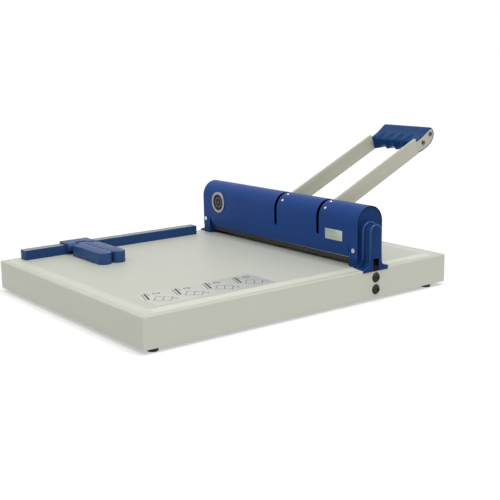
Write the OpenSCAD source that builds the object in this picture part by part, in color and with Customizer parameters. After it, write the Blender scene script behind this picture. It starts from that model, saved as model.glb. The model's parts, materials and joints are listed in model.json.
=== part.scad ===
// Hand-operated paper creasing press: a sheet steel table with a paper fence and a flip stop,
// a covered press that drives a creasing rule down into a grooved bar, and a two-armed lever.
// X runs to the operator's right, Y runs away from the operator and Z runs up, in millimetres.
// The origin lies on the floor under the middle of the machine with the lever laid back.

/* [Base case] */
// Width of the case across the operator
base_w = 415; // [405:1:440]
// Depth of the case from front to back
base_d = 536.5; // [500:0.5:600]
// Height of the case walls
base_h = 42; // [40:0.5:50]
// Thickness of the case's sheet steel
case_t = 1.5; // [1:0.1:2]
// Bend radius of the case's outer edges
case_r = 2; // [1:0.1:3]
// Width of the rim round the table plate
rim_w = 8; // [7:0.5:9]
// Width of the ledge that carries the table plate
ledge_w = 10; // [6:0.5:11]
// Width of the return flange round the open underside
return_w = 22; // [21:0.5:30]

/* [Table plate] */
// Thickness of the table plate at its edge
table_t = 2; // [1.5:0.1:3]
// Height of the table above the rim
table_rise = 0.6; // [0.3:0.1:1]
// Width of the sloping border of the table
bevel_w = 16; // [10:0.5:20]
// Gap between the table plate and the rim
table_fit = 0.3; // [0.2:0.05:0.5]

/* [Feet] */
// Diameter of a rubber foot
foot_d = 16; // [14:0.5:18]
// Height of a rubber foot
foot_h = 6; // [5:0.5:10]
// Distance of a foot's centre from the side of the case
foot_side = 12; // [10:0.5:12.5]
// Distance of the front feet from the front of the case
foot_end = 20; // [12:0.5:30]
// Distance of the rear feet from the back of the case
foot_back = 29.5; // [12:0.5:40]
// Diameter of a foot screw's thread
foot_screw_d = 4; // [3:0.5:5]

/* [Press] */
// Distance of the press's middle plane from the front of the case
press_y = 392.5; // [380:0.5:400]
// Distance of a bracket's inner face from the side of the case
bracket_in = 34.25; // [33.5:0.25:36]
// Clear height under the creasing rule
paper_gap = 4.4; // [4.3:0.1:5]
// Depth that the rule goes into the groove
rule_bite = 0.4; // [0.2:0.1:0.8]
// Thickness of the creasing rule
rule_t = 1; // [0.7:0.1:1.5]
// Height of the creasing rule
rule_h = 12; // [10:0.5:14]
// Length of the rule that stands out of the beam
rule_out = 0.8; // [0.7:0.1:1.2]
// Width of the groove in the matrix bar
groove_w = 2; // [1.8:0.1:3]
// Depth of the groove in the matrix bar
groove_depth = 1.2; // [1:0.1:2]
// Width of the matrix bar
matrix_w = 24; // [20:0.5:26]
// Height of the matrix bar
matrix_h = 8; // [6:0.5:10]
// Width of the pressing beam from front to back
beam_d = 35; // [32:0.5:35.5]
// Height of the pressing beam
beam_h = 26; // [24:0.5:28]
// Width of the bed beam from front to back
bed_d = 32; // [30:0.5:40]
// Gap under the bed beam
bed_gap = 1.5; // [1:0.1:3]
// Width of the beam's guide tongue
tongue_w = 12; // [10:0.5:14]
// Length of the beam's guide tongue
tongue_l = 12; // [10:0.5:13]
// Height of the beam's guide tongue
tongue_h = 12; // [10:0.5:14]

/* [Drive] */
// Height of the drive shaft above the table
shaft_rise = 67.4; // [66:0.1:68.5]
// Diameter of the drive shaft
shaft_d = 14; // [12:0.5:14]
// Outer diameter of a shaft bush
bush_d = 20; // [18:0.5:22]
// Length of a shaft bush
bush_l = 14; // [10:0.5:15]
// Radius of a cam where it meets its tappet at rest
cam_r = 12; // [11.5:0.1:12.5]
// Width of a cam
cam_w = 14; // [10:0.5:18]
// Distance of a cam's middle from its bracket
cam_in = 43.25; // [30:0.25:45]
// Diameter of a clamp collar on the shaft
collar_d = 24; // [22:0.5:26]
// Length of a clamp collar on the shaft
collar_l = 12; // [10:0.5:14]
// Diameter of a set screw's thread
set_screw_d = 5; // [4:0.5:6]
// Width of a tappet block along the beam
tappet_w = 18; // [14:0.5:24]
// Depth of a tappet block from front to back
tappet_d = 27; // [26:0.5:29]
// Distance of a tappet screw from the beam's middle plane
tappet_screw_y = 9; // [8:0.5:9.5]
// Wire diameter of a return spring
wire_d = 1.1; // [0.8:0.1:1.2]
// Outer diameter of a return spring
spring_d = 8; // [7:0.5:9]
// Number of turns of a return spring
spring_turns = 6; // [4:1:7]

/* [Housing] */
// Outer radius of the cover's round top
cover_r = 24.3; // [24:0.1:25]
// Height of the round top's centre above the table
arch_rise = 63.2; // [62.5:0.1:66]
// Thickness of the cover's sheet steel
cover_t = 1.5; // [1:0.1:1.8]
// Height of the lip's bend line above the table
bend_rise = 25.4; // [24:0.2:28]
// Height of the lip's lower edge above the table
lip_rise = 11.9; // [10:0.1:13]
// Distance that the lip leans in
lip_in = 4.7; // [2:0.1:4.9]
// Distance that the lip's ends slope in
lip_slant = 3; // [0:0.2:6]
// Height of the end tabs above the table
tab_rise = 12.4; // [10:0.2:15]
// Distance that the cover stands out past a bracket's end plate
cover_over = 0.75; // [0.5:0.05:2]
// Width of a lever slot
slot_w = 5.5; // [5.3:0.1:6]
// Height of a lever slot's front end above the table
slot_front_rise = 37.8; // [34:0.2:45]
// Diameter of a cover screw's head
cover_screw_d = 6.5; // [6:0.5:9]
// Distance of the cover screws from the cover's end
cover_screw_in = 7.8; // [6:0.1:9]
// Height of the cover screws above the table
cover_screw_rise = 24.2; // [22:0.2:26]
// Diameter of a guide rivet's head
rivet_d = 4; // [3:0.2:5]
// Diameter of the round badge
badge_d = 35; // [30:0.5:42]
// Distance of the badge's centre from the cover's left end
badge_in = 44.5; // [40:0.5:90]
// Height of the badge's centre above the table
badge_rise = 55.8; // [50:0.2:58]
// Length of the blank plate
plate_l = 36.6; // [30:0.2:40]
// Height of the blank plate
plate_h = 15.5; // [12:0.1:18]
// Distance of the blank plate's middle from the cover's right end
blank_in = 50; // [42:0.2:56]
// Height of the blank plate's middle above the table
plate_rise = 41.8; // [38:0.2:46]

/* [Brackets] */
// Thickness of a bracket's end plate
end_t = 17; // [16.5:0.25:18]
// Thickness of the wide step on a bracket
step_t = 7; // [5:0.5:8]
// Width of the wide step
step_w = 29; // [27:0.5:32]
// Height of the wide step above the table
step_rise = 66.8; // [64:0.2:70]
// Width of the outer pillar
pillar_w = 23.7; // [20:0.1:26]
// Height of the outer pillar above the table
pillar_rise = 64; // [60:0.2:66]
// Distance of the outer posts in front of the press's middle plane
post_shift = 5; // [0:0.1:5.5]
// Width of the bracket's foot flange
flange_w = 49; // [46:0.5:54]
// Thickness of the part that laps over the case's side
lap_t = 1.5; // [1.2:0.1:2.5]
// Height of the foot flange above the rim
flange_up = 2.6; // [2.2:0.1:4]
// Length of the flange below the rim
flange_down = 3.6; // [2:0.1:5]
// Radius of the flare above the foot flange
flare_r = 8; // [5:0.5:10]
// Width of the bolt pocket
pocket_w = 11; // [9.5:0.1:12]
// Height of the bolt pocket's top above the rim
pocket_rise = 14.5; // [12:0.1:18]
// Thickness of metal under the bolt's head
pocket_floor = 4.5; // [3:0.1:6]
// Thread diameter of a bracket bolt
bolt_d = 5; // [4:0.5:5]
// Thread diameter of a bed screw
bed_screw_d = 8; // [6:0.5:8]
// Head diameter of a bed screw
bed_screw_head = 15; // [13:0.5:16]
// Height of the lower bed screw above the case's underside
bed_screw_low = 11.2; // [10:0.2:13]
// Height of the upper bed screw above the case's underside
bed_screw_high = 28.8; // [28:0.2:29]
// Distance of the bed screws behind the outer posts' middle
bed_screw_back = 1.5; // [0:0.1:3]

/* [Lever] */
// Angle of the lever at rest above the level
rest_angle = 24.7; // [23.5:0.1:27]
// Angle that the lever turns through
lever_turn = 160; // [140:1:160]
// Distance from the shaft to the end of an arm's wide part
arm_l = 203.2; // [180:0.2:220]
// Distance that an arm's shoulder slopes along the arm
shoulder_slope = 3; // [0:0.1:4]
// Width of an arm
arm_w = 25; // [23:0.5:25.5]
// Thickness of an arm
arm_t = 4.5; // [4:0.1:4.6]
// Thickness of an arm's tang at the grip
tang_t = 3; // [2.5:0.1:3.5]
// Distance between the middles of the arms
arm_spread = 99.2; // [90:0.2:104]
// Distance of the lever's middle from the right bracket
lever_in = 117.65; // [115:0.25:135]
// Length of the grip past the wide part of the arms
grip_l = 46.5; // [40:0.5:52]
// Thickness of the grip
grip_h = 24.4; // [22:0.2:28]
// Number of finger hollows in the grip
finger_count = 4; // [3:1:4]
// Depth of a finger hollow
finger_depth = 4; // [1:0.1:5]
// Diameter of a grip screw's head
grip_screw_d = 6; // [5:0.5:7]

/* [Paper fence] */
// Distance of the fence's guiding face from the left side of the case
fence_in = 30.5; // [29:0.5:34]
// Width of the fence rail
rail_w = 18; // [16:0.5:20]
// Height of the fence rail
rail_h = 14.5; // [13:0.5:18]
// Distance of the rail's front end from the front of the case
rail_y = 28.9; // [26:0.1:50]
// Gap between the rail's rear end and the cover
rail_gap = 25.8; // [20:0.2:40]
// Width of the scale strip
scale_w = 12; // [8:0.5:14]
// Distance of the scale's rear end from the rail's rear end
scale_short = 5; // [0:0.5:10]
// Thickness of the scale strip
scale_t = 0.5; // [0.3:0.1:0.8]
// Height of the keeper groove in the rail's back
keep_h = 5; // [4:0.5:6]
// Depth of the keeper groove in the rail's back
keep_depth = 2.5; // [2:0.1:4]
// Thread diameter of a fence screw
fence_screw_d = 4; // [3:0.5:4]

/* [Flip stop] */
// Distance of the stop's middle from the front of the case
stop_y = 119.5; // [110:0.5:200]
// Length of the carriage along the rail
carriage_l = 47; // [40:0.5:60]
// Thickness of the carriage's walls
carriage_t = 2.9; // [2.5:0.1:4]
// Height of the hinge pin above the table
pin_rise = 11.9; // [10:0.1:12]
// Diameter of the hinge pin
pin_d = 4; // [3:0.5:5]
// Radius of the hinge barrels
barrel_r = 5.5; // [5:0.1:6]
// Width of the arm's middle barrel
tongue_barrel_w = 18; // [12:0.5:20]
// Length of the stop arm from the pin to its tips
stop_l = 101.5; // [80:0.5:120]
// Width of one finger of the stop arm
finger_w = 22; // [20:0.5:24]
// Distance of the fingers' middle behind the carriage's middle
finger_shift = 1; // [0:0.5:4]
// Width of the groove between the fingers
finger_gap = 1; // [0.6:0.1:2]
// Depth of the groove between the fingers
finger_groove = 3; // [1:0.1:6]
// Diameter of the pressure screw's knob
knob_d = 10; // [8:0.5:11]

/* [Label] */
// Width of the instruction label
label_w = 62; // [50:1:66]
// Length of the instruction label
label_l = 189; // [150:1:192]
// Distance of the label from the right side of the case
label_in = 29.5; // [26:0.5:34]
// Distance of the label's front edge from the front of the case
label_y = 40; // [36:1:80]

/* [Hidden] */
$fn = 64;

// Colours as seen
cream = "#c9cac1";
blue = "#2b4a8c";
steel = "#8f9296";
dark_steel = "#3d3d3d";
black = "#1c1c1c";
bright = "#d8dade";
bronze = "#a8793a";

// Clearances
fit = 0.05;
gap = 0.3;
slide_fit = 0.1;
lap_fit = 0.2;
face_gap = 0.5;
tang_fit = 0.15;
past = 1;
hole_extra = 0.5;
head_ratio = 1.8;
full_turn = 360;

// Levels
half_w = base_w / 2;
rim_z = foot_h + base_h;
ledge_z = rim_z - table_t;
table_z = rim_z + table_rise;
beam_z = table_z + paper_gap + rule_out;
beam_top = beam_z + beam_h;
shaft_z = table_z + shaft_rise;
arch_z = table_z + arch_rise;
bend_z = table_z + bend_rise;
lip_z = table_z + lip_rise;
tab_z = table_z + tab_rise;
rail_top = table_z + rail_h;
bed_top = ledge_z;
bed_end_top = ledge_z - case_t;
bed_z = foot_h + case_t + bed_gap;

// Stations across the machine
ledge_x = half_w - rim_w - ledge_w;
plate_in = half_w - bracket_in;
plate_out = plate_in + end_t;
step_out = plate_out + step_t;
pillar_out = half_w + lap_t;
cover_end = plate_out + cover_over;
slit_w = 1.6;
lip_end = plate_in - slit_w;
bolt_in = 4.5;
bolt_x = half_w - bolt_in;
cover_screw_x = cover_end - cover_screw_in;
badge_x = badge_in - cover_end;
blank_x = cover_end - blank_in;
cam_x = plate_in - cam_in;
lever_x = plate_in - lever_in;
arm_xs = [lever_x - arm_spread / 2, lever_x + arm_spread / 2];

// Press travel
beam_travel = paper_gap + rule_bite;
cam_gain = beam_travel / lever_turn;
tappet_top = shaft_z - cam_r - gap;
beam_short = 1;
beam_half_l = plate_in - beam_short;
tongue_free = 0.8;
groove_bottom = beam_top - tongue_h - beam_travel - tongue_free;
spring_x = plate_in + tongue_l / 2;
spring_rise = 2.4;
spring_bottom = table_z + spring_rise;
spring_top = beam_top - tongue_h;

// Points of a cubic curve through its control points
function curve_at(c, u) =
  pow(1 - u, 3) * c[0] + 3 * u * pow(1 - u, 2) * c[1] + 3 * u * u * (1 - u) * c[2] + u * u * u * c[3];
function curve(c, steps) = [for (i = [0:steps - 1]) curve_at(c, i / steps)];
function in_grip(c) = [for (p = c) [arm_l + p[0] * grip_l, p[1] * grip_h]];

// Place of an arm's shoulder along the arm, at a height across it
function shoulder_at(t) = arm_l + shoulder_slope * (t / arm_w + 1 / 2);
// A point of the grip's inner face, which follows the arms' shoulders
function on_face(b) = [shoulder_at(b * grip_h) + face_gap, b * grip_h];
// An outline moved out by a distance
function grown(points, d) = let (n = len(points))
  [for (i = [0:n - 1]) let (t = points[(i + 1) % n] - points[(i + n - 1) % n])
    points[i] + d / norm(t) * [t[1], -t[0]]];

// Outline of the grip: a convex underside, a round tip and a slightly hollow top
grip_under = concat([on_face(-0.508)], in_grip([[0.45, -0.646], [0.95, -0.571], [1, 0.08]]));
grip_tip = in_grip([[1, 0.08], [1.015, 0.24], [0.93, 0.55], [0.865, 0.533]]);
grip_upper = concat(in_grip([[0.865, 0.533], [0.7, 0.49], [0.42, 0.3]]), [on_face(0.355)]);
grip_outline = concat(curve(grip_under, 12), curve(grip_tip, 5), curve(grip_upper, 8), [grip_upper[3]]);

// Outline of an arm's tang, set inside the rim of the grip's end
tang_under = in_grip([[-0.02, -0.44], [0.43, -0.575], [0.91, -0.52], [0.955, 0.075]]);
tang_tip = in_grip([[0.955, 0.075], [0.965, 0.2], [0.945, 0.36], [0.89, 0.4]]);
tang_upper = in_grip([[0.89, 0.4], [0.7, 0.38], [0.42, 0.2], [-0.02, 0.26]]);
tang_outline = concat(curve(tang_under, 12), curve(tang_tip, 4), curve(tang_upper, 8), [tang_upper[3]]);
grip_screws_at = in_grip([[0.8, 0.115], [0.368, -0.09]]);

// Depth of the whole machine, from the front of the case to the grip's furthest point
machine_d = press_y + max([for (p = grip_outline) p[0] * cos(rest_angle) - p[1] * sin(rest_angle)]);

// A flat shape of Y and Z carried along X
module along_x(x0, x1) translate([x0, 0, 0]) rotate([90, 0, 90]) linear_extrude(x1 - x0) children();
// A flat shape of X and Z carried along Y
module along_y(y0, y1) translate([0, y1, 0]) rotate([90, 0, 0]) linear_extrude(y1 - y0) children();
// A round bar along X
module bar_x(r, x0, x1) translate([x0, 0, 0]) rotate([0, 90, 0]) cylinder(r = r, h = x1 - x0);
// A round bar along Y
module bar_y(r, y0, y1) translate([0, y0, 0]) rotate([-90, 0, 0]) cylinder(r = r, h = y1 - y0);
// A round bar along Z
module bar_z(r, z0, z1) translate([0, 0, z0]) cylinder(r = r, h = z1 - z0);
// A block between two corners
module block(low, high) translate(low) cube(high - low);

// Puts children in the machine's frame, from the front of the case
module placed() translate([0, -machine_d / 2, 0]) children();
// Puts children at the press's middle plane
module at_press() placed() translate([0, press_y, 0]) children();
// Puts children at the brackets' outer posts
module at_post() at_press() translate([0, -post_shift, 0]) children();
// Puts children in the lever's frame: Y along the arm and Z square to it
module on_lever() at_press() translate([0, 0, shaft_z]) rotate([rest_angle, 0, 0]) children();
// Puts children in the stop's frame: Y from the stop's middle
module at_stop() placed() translate([0, stop_y, 0]) children();
// Children and their mirror image across the middle plane
module both_sides() {
  children();
  mirror([1, 0, 0]) children();
}
// Turns children half round about the press's upright middle line
module turned() at_press() rotate([0, 0, full_turn / 2])
  translate([0, machine_d / 2 - press_y, 0]) children();
// Children and their copy turned half round, as the two brackets are
module both_ends() {
  children();
  turned() children();
}

// A rectangle with its upper corners rounded
module soft_top(x0, x1, z0, z1, r) {
  translate([x0, z0]) square([x1 - x0, z1 - z0 - r]);
  translate([x0 + r, z0]) square([x1 - x0 - 2 * r, z1 - z0]);
  for (x = [x0 + r, x1 - r]) translate([x, z1 - r]) circle(r);
}

// An upright with a round top about z
module arch(r, z, z0) {
  translate([0, z]) circle(r);
  translate([-r, z0]) square([2 * r, z - z0]);
}

flange_r = 2;

// An upright with a round top that flares into a foot
module flared_arch(w, top, foot_w, foot_z0, foot_z1, r) {
  arch(w / 2, top - w / 2, foot_z0);
  soft_top(-foot_w / 2, foot_w / 2, foot_z0, foot_z1, flange_r);
  for (side = [-1, 1]) difference() {
    translate([side * (w / 2 + r / 2), foot_z1 + r / 2 - past / 2]) square([r, r + past], center = true);
    translate([side * (w / 2 + r), foot_z1 + r]) circle(r);
  }
}

socket_ratio = 0.62;

// A pan-headed screw along Z, its head seated at z = 0 and standing up
module pan_screw(d, head_d, head_h, l) {
  cylinder(d = d, h = head_h);
  translate([0, 0, -l]) cylinder(d = d, h = l + head_h / 2);
  difference() {
    cylinder(d = head_d, h = head_h);
    translate([0, 0, head_h / 2]) cylinder(d = d * socket_ratio, h = head_h, $fn = 6);
  }
}

// Case

module case_block(z0) intersection() {
  translate([0, 0, z0]) linear_extrude(rim_z - z0) union() {
    translate([-half_w + case_r, 0]) square([base_w - 2 * case_r, base_d]);
    translate([-half_w, case_r]) square([base_w, base_d - 2 * case_r]);
    for (x = [-1, 1]) for (y = [case_r, base_d - case_r])
      translate([x * (half_w - case_r), y]) circle(case_r);
  }
  along_y(-past, base_d + past) soft_top(-half_w, half_w, z0 - past, rim_z, case_r);
  along_x(-half_w - past, half_w + past) soft_top(0, base_d, z0 - past, rim_z, case_r);
}

// A box through the case, set in from its sides all round
module inset_box(inset, z0, z1) block([-half_w + inset, inset, z0], [half_w - inset, base_d - inset, z1]);

module at_feet() for (x = [-1, 1]) for (y = [foot_end, base_d - foot_back])
  placed() translate([x * (half_w - foot_side), y, foot_h]) children();

module at_bed_screws() both_ends() at_post() for (z = [bed_screw_low, bed_screw_high])
  translate([half_w, bed_screw_back, foot_h + z]) children();

module at_bolts() both_ends() at_post() translate([bolt_x, 0, 0]) children();

module base_case() color(cream) difference() {
  placed() difference() {
    case_block(foot_h);
    inset_box(case_t, foot_h + case_t, ledge_z - case_t);
    inset_box(return_w, foot_h - past, foot_h + 2 * case_t);
    inset_box(rim_w + ledge_w, ledge_z - 2 * case_t, rim_z + past);
    inset_box(rim_w, ledge_z, rim_z + past);
  }
  at_feet() bar_z(foot_screw_d / 2 + fit, -past, 2 * case_t);
  at_bed_screws() bar_x(bed_screw_d / 2 + fit, -2 * case_t, past);
  at_bolts() bar_z(bolt_d / 2 + fit, ledge_z - 2 * case_t, rim_z + past);
}

module table_outline(half) polygon([
  [-half, ledge_z], [half, ledge_z], [half, rim_z],
  [half - bevel_w, table_z], [-half + bevel_w, table_z], [-half, rim_z]
]);

module table_solid() intersection() {
  along_y(0, base_d) table_outline(half_w - rim_w - table_fit);
  along_x(-half_w, half_w) translate([base_d / 2, 0]) table_outline(base_d / 2 - rim_w - table_fit);
}

// What lies under a bracket: the table and the case up to its rim
module deck() {
  placed() table_solid();
  placed() block([-half_w - lap_fit, 0, foot_h], [half_w + lap_fit, base_d, rim_z]);
}

matrix_short = 0.5;
matrix_half_l = plate_in - matrix_short;

module table_plate() color(cream) difference() {
  placed() table_solid();
  at_press() block([-matrix_half_l - gap, -matrix_w / 2 - gap, ledge_z - past],
                   [matrix_half_l + gap, matrix_w / 2 + gap, table_z + past]);
  at_fence_screws() bar_z(fence_screw_d / 2 + fit, -past - table_t - table_rise, past);
}

module bed_beam() color(dark_steel) difference() {
  at_press() block([-half_w + case_t + fit, -bed_d / 2, bed_z], [half_w - case_t - fit, bed_d / 2, bed_top]);
  both_sides() at_press() block([ledge_x - gap, -bed_d, bed_end_top], [half_w, bed_d, bed_top + past]);
  at_press() block([-matrix_half_l - gap, -matrix_w / 2 - slide_fit, table_z - matrix_h],
                   [matrix_half_l + gap, matrix_w / 2 + slide_fit, bed_top + past]);
  at_bed_screws() bar_x(bed_screw_d / 2 + fit, -bed_screw_l - hole_extra, 0);
  at_bolts() bar_z(bolt_d / 2 + fit, bolt_tip - hole_extra, bed_top);
}

module matrix_bar() color(steel) at_press() difference() {
  block([-matrix_half_l, -matrix_w / 2, table_z - matrix_h], [matrix_half_l, matrix_w / 2, table_z]);
  block([-matrix_half_l - past, -groove_w / 2, table_z - groove_depth],
        [matrix_half_l + past, groove_w / 2, table_z + past]);
}

bed_screw_l = 20;
bed_screw_up = 4.4;
button_socket = 0.36;

// Button head: a dome cut from a ball, with a hexagon socket
module button_head(d, up) {
  ball_r = (d * d / 4 + up * up) / (2 * up);
  difference() {
    intersection() {
      cylinder(d = d, h = up);
      translate([0, 0, up - ball_r]) sphere(ball_r);
    }
    translate([0, 0, up / 2]) cylinder(d = d * button_socket, h = up, $fn = 6);
  }
}

module bed_screws() color(black) at_bed_screws() {
  rotate([0, 90, 0]) button_head(bed_screw_head, bed_screw_up);
  bar_x(bed_screw_d / 2, -bed_screw_l, bed_screw_up / 4);
}

foot_bore = 2;
foot_head_h = 2.4;
foot_taper = 2;
foot_screw_end = 3;

module rubber_feet() color(black) at_feet() difference() {
  translate([0, 0, -foot_h]) cylinder(d1 = foot_d - foot_taper, d2 = foot_d, h = foot_h);
  bar_z(foot_screw_d / 2 + fit, -foot_h - past, past);
  bar_z(foot_screw_d + fit, -foot_h - past, -foot_bore);
}

module foot_screws() color(steel) at_feet() translate([0, 0, -foot_bore]) mirror([0, 0, 1])
  pan_screw(foot_screw_d, head_ratio * foot_screw_d, foot_head_h, foot_bore + case_t + foot_screw_end);

// Brackets

bolt_clear = 0.8;
bolt_tip = foot_h + bed_screw_high + bed_screw_d / 2 + bolt_clear;
bolt_head_d = 8.5;
bolt_head_h = 5;
pocket_z = rim_z + pocket_floor;
bracket_half = cover_r - cover_t - gap;
step_foot_h = 4;
step_in = 4;
pillar_lap = 2;
pocket_side = 1.5;
lap_recess = 0.5;

module bracket_metal() {
  at_press() along_x(plate_in, plate_out) {
    arch(bracket_half, arch_z, ledge_z);
    translate([-cover_r, ledge_z]) square([2 * cover_r, tab_z - gap - ledge_z]);
  }
  at_post() {
    along_x(plate_out - step_in, step_out)
      flared_arch(step_w, table_z + step_rise, 2 * bracket_half, ledge_z, table_z + step_foot_h, flare_r);
    along_x(step_out - pillar_lap, pillar_out)
      flared_arch(pillar_w, table_z + pillar_rise, flange_w, rim_z - flange_down, rim_z + flange_up, flare_r);
  }
}

module bracket() difference() {
  bracket_metal();
  deck();
  at_press() {
    translate([0, 0, shaft_z]) bar_x(bush_d / 2 + fit, plate_in - past, plate_in + bush_l);
    block([plate_in - past, -tongue_w / 2 - slide_fit, groove_bottom],
          [plate_in + tongue_l + gap, tongue_w / 2 + slide_fit, beam_top + tongue_free]);
    translate([spring_x, 0, 0]) bar_z(spring_d / 2 + gap, spring_bottom, groove_bottom + past);
  }
  at_post() {
    block([bolt_x - bolt_head_d / 2 - pocket_side, -pocket_w / 2, pocket_z],
          [pillar_out + past, pocket_w / 2, rim_z + pocket_rise]);
    block([pillar_out - lap_recess, -pocket_w / 2, rim_z - flange_down - past],
          [pillar_out + past, pocket_w / 2, pocket_z + past]);
  }
  at_bolts() bar_z(bolt_d / 2 + fit, rim_z - past, pocket_z + past);
  at_cover_screws() bar_y(cover_screw_thread / 2 + fit, -past, cover_screw_l + hole_extra);
}

module right_bracket() color(blue) bracket();
module left_bracket() color(blue) turned() bracket();

module bracket_bolts() color(black) at_bolts() {
  translate([0, 0, pocket_z]) difference() {
    cylinder(d = bolt_head_d, h = bolt_head_h);
    translate([0, 0, bolt_head_h / 2]) cylinder(d = bolt_head_d / 2, h = bolt_head_h, $fn = 6);
  }
  bar_z(bolt_d / 2, bolt_tip, pocket_z + past);
}

module shaft_bushes() color(bronze) both_sides() at_press() translate([0, 0, shaft_z]) difference() {
  bar_x(bush_d / 2, plate_in, plate_in + bush_l);
  bar_x(shaft_d / 2 + fit, plate_in - past, plate_in + bush_l + past);
}

// Housing

cover_screw_thread = 4;
cover_screw_l = 9;
cover_screw_up = 1.8;
slit_h = 6;

module at_cover_screws() both_sides() at_press() for (back = [0, 1]) mirror([0, back, 0])
  translate([cover_screw_x, -cover_r + cover_t, table_z + cover_screw_rise]) children();

module cover_lip() intersection() {
  along_x(-lip_end, lip_end) polygon([
    [-cover_r, bend_z + past], [-cover_r, bend_z], [-cover_r + lip_in, lip_z],
    [-cover_r + lip_in + cover_t, lip_z], [-cover_r + cover_t, bend_z], [-cover_r + cover_t, bend_z + past]
  ]);
  along_y(-cover_r - past, 0) polygon([
    [-lip_end, bend_z + past], [lip_end, bend_z + past], [lip_end, bend_z],
    [lip_end - lip_slant, lip_z], [-lip_end + lip_slant, lip_z], [-lip_end, bend_z]
  ]);
}

// Rear end of a lever slot, just under the lower edge of an arm at rest
slot_back_z = shaft_z + (cover_r - cover_t) * tan(rest_angle) - arm_w / 2 / cos(rest_angle) - gap;

module lever_slot() {
  block([-slot_w / 2, 0, slot_back_z], [slot_w / 2, cover_r + past, arch_z + cover_r + past]);
  block([-slot_w / 2, -cover_r - past, table_z + slot_front_rise + slot_w / 2],
        [slot_w / 2, past, arch_z + cover_r + past]);
  translate([0, 0, table_z + slot_front_rise + slot_w / 2]) bar_y(slot_w / 2, -cover_r - past, -cover_r / 2);
}

module housing_cover() color(blue) difference() {
  at_press() {
    along_x(-cover_end, cover_end) difference() {
      arch(cover_r, arch_z, bend_z);
      arch(cover_r - cover_t, arch_z, bend_z - past);
    }
    for (back = [0, 1]) mirror([0, back, 0]) {
      for (x = [-cover_end, plate_in])
        block([x, -cover_r, tab_z], [x + cover_end - plate_in, -cover_r + cover_t, bend_z + past]);
      cover_lip();
    }
  }
  at_press() for (x = arm_xs) translate([x, 0, 0]) lever_slot();
  both_sides() at_press() for (back = [0, 1]) mirror([0, back, 0])
    block([lip_end, -cover_r - past, bend_z - slit_h],
          [plate_in, -cover_r + 2 * cover_t, bend_z + slit_h / 3]);
  at_cover_screws() bar_y(cover_screw_thread / 2 + fit, -2 * cover_t, past);
  at_rivets() bar_z(rivet_d / 4 + fit, -2 * cover_t, past);
}

module cover_screws() color(bright) at_cover_screws() translate([0, -cover_t, 0]) rotate([90, 0, 0])
  pan_screw(cover_screw_thread, cover_screw_d, cover_screw_up, cover_screw_l + cover_t);

// Nylon guides inside the cover beside the lever slots, each held by two rivets
guide_w = 10;
guide_t = 1.5;
guide_side = 3.75;
guide_x = slot_w / 2 + guide_side;
guide_low = 6;
rivet_angles = [37, 70.5];
rivet_up = 1;

module at_rivets() at_press() for (x = arm_xs) for (a = rivet_angles)
  translate([x + guide_x + guide_w / 2, 0, arch_z]) rotate([90 - a, 0, 0])
    translate([0, 0, cover_r]) children();

module slot_guides() color("white") difference() {
  at_press() for (x = arm_xs) along_x(x + guide_x, x + guide_x + guide_w) difference() {
    translate([0, arch_z]) circle(cover_r - cover_t - fit);
    translate([0, arch_z]) circle(cover_r - cover_t - fit - guide_t);
    translate([-2 * cover_r, arch_z - 2 * cover_r]) square([4 * cover_r, 2 * cover_r + guide_low]);
    translate([0, arch_z]) square(2 * cover_r);
  }
  at_rivets() bar_z(rivet_d / 4 + fit, -3 * cover_t, past);
}

module slot_rivets() color(bright) at_rivets() {
  rivet_ball = (rivet_d * rivet_d / 4 + rivet_up * rivet_up) / (2 * rivet_up);
  intersection() {
    cylinder(d = rivet_d, h = rivet_up);
    translate([0, 0, rivet_up - rivet_ball]) sphere(rivet_ball);
  }
  bar_z(rivet_d / 4, -cover_t - guide_t - fit, rivet_up / 2);
}

badge_up = 1.6;
badge_rim = 4;
badge_face_up = 0.8;

module badge_disc(r, up) at_press() difference() {
  translate([badge_x, 0, table_z + badge_rise]) bar_y(r, -cover_r - up, -cover_r / 2);
  along_x(badge_x - badge_d, badge_x + badge_d) arch(cover_r + fit, arch_z, bend_z - past);
}

module badge_ring() color(bright) difference() {
  badge_disc(badge_d / 2, badge_up);
  at_press() translate([badge_x, 0, table_z + badge_rise]) bar_y(badge_d / 2 - badge_rim, -2 * cover_r, 0);
}

module badge_face() color(black) badge_disc(badge_d / 2 - badge_rim - fit, badge_face_up);

blank_t = 0.8;

module blank_plate() color(bright) at_press()
  block([blank_x - plate_l / 2, -cover_r - blank_t, table_z + plate_rise - plate_h / 2],
        [blank_x + plate_l / 2, -cover_r, table_z + plate_rise + plate_h / 2]);

label_t = 0.2;
label_x = half_w - label_in;

module instruction_label() color("gainsboro") placed()
  block([label_x - label_w, label_y, table_z], [label_x, label_y + label_l, table_z + label_t]);

// Paper fence

rail_in = fence_in - half_w;
rail_out = rail_in - rail_w;
rail_l = press_y - cover_r - rail_gap - rail_y;
keep_z = table_z + rail_h / 2;
keep_end = 8;
fence_screw_head_h = 2.4;
fence_screw_l = 9;
fence_screw_in = 7.5;
rail_screw_end = 30;
fence_screw_pitch = (rail_l - 2 * rail_screw_end) / 2;

module at_fence_screws() placed() for (i = [0:2])
  translate([rail_in - fence_screw_in, rail_y + rail_screw_end + i * fence_screw_pitch, table_z]) children();

module fence_rail() color(blue) difference() {
  placed() difference() {
    block([rail_out, rail_y, table_z], [rail_in, rail_y + rail_l, rail_top]);
    block([rail_out - past, rail_y + keep_end, keep_z - keep_h / 2],
          [rail_out + keep_depth, rail_y + rail_l - keep_end, keep_z + keep_h / 2]);
    block([(rail_out + rail_in - scale_w) / 2 - fit, rail_y - past, rail_top - scale_t],
          [(rail_out + rail_in + scale_w) / 2 + fit, rail_y + rail_l - scale_short + fit, rail_top + past]);
  }
  at_fence_screws() bar_z(fence_screw_d / 2 + fit, -past, fence_screw_l + hole_extra);
}

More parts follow.
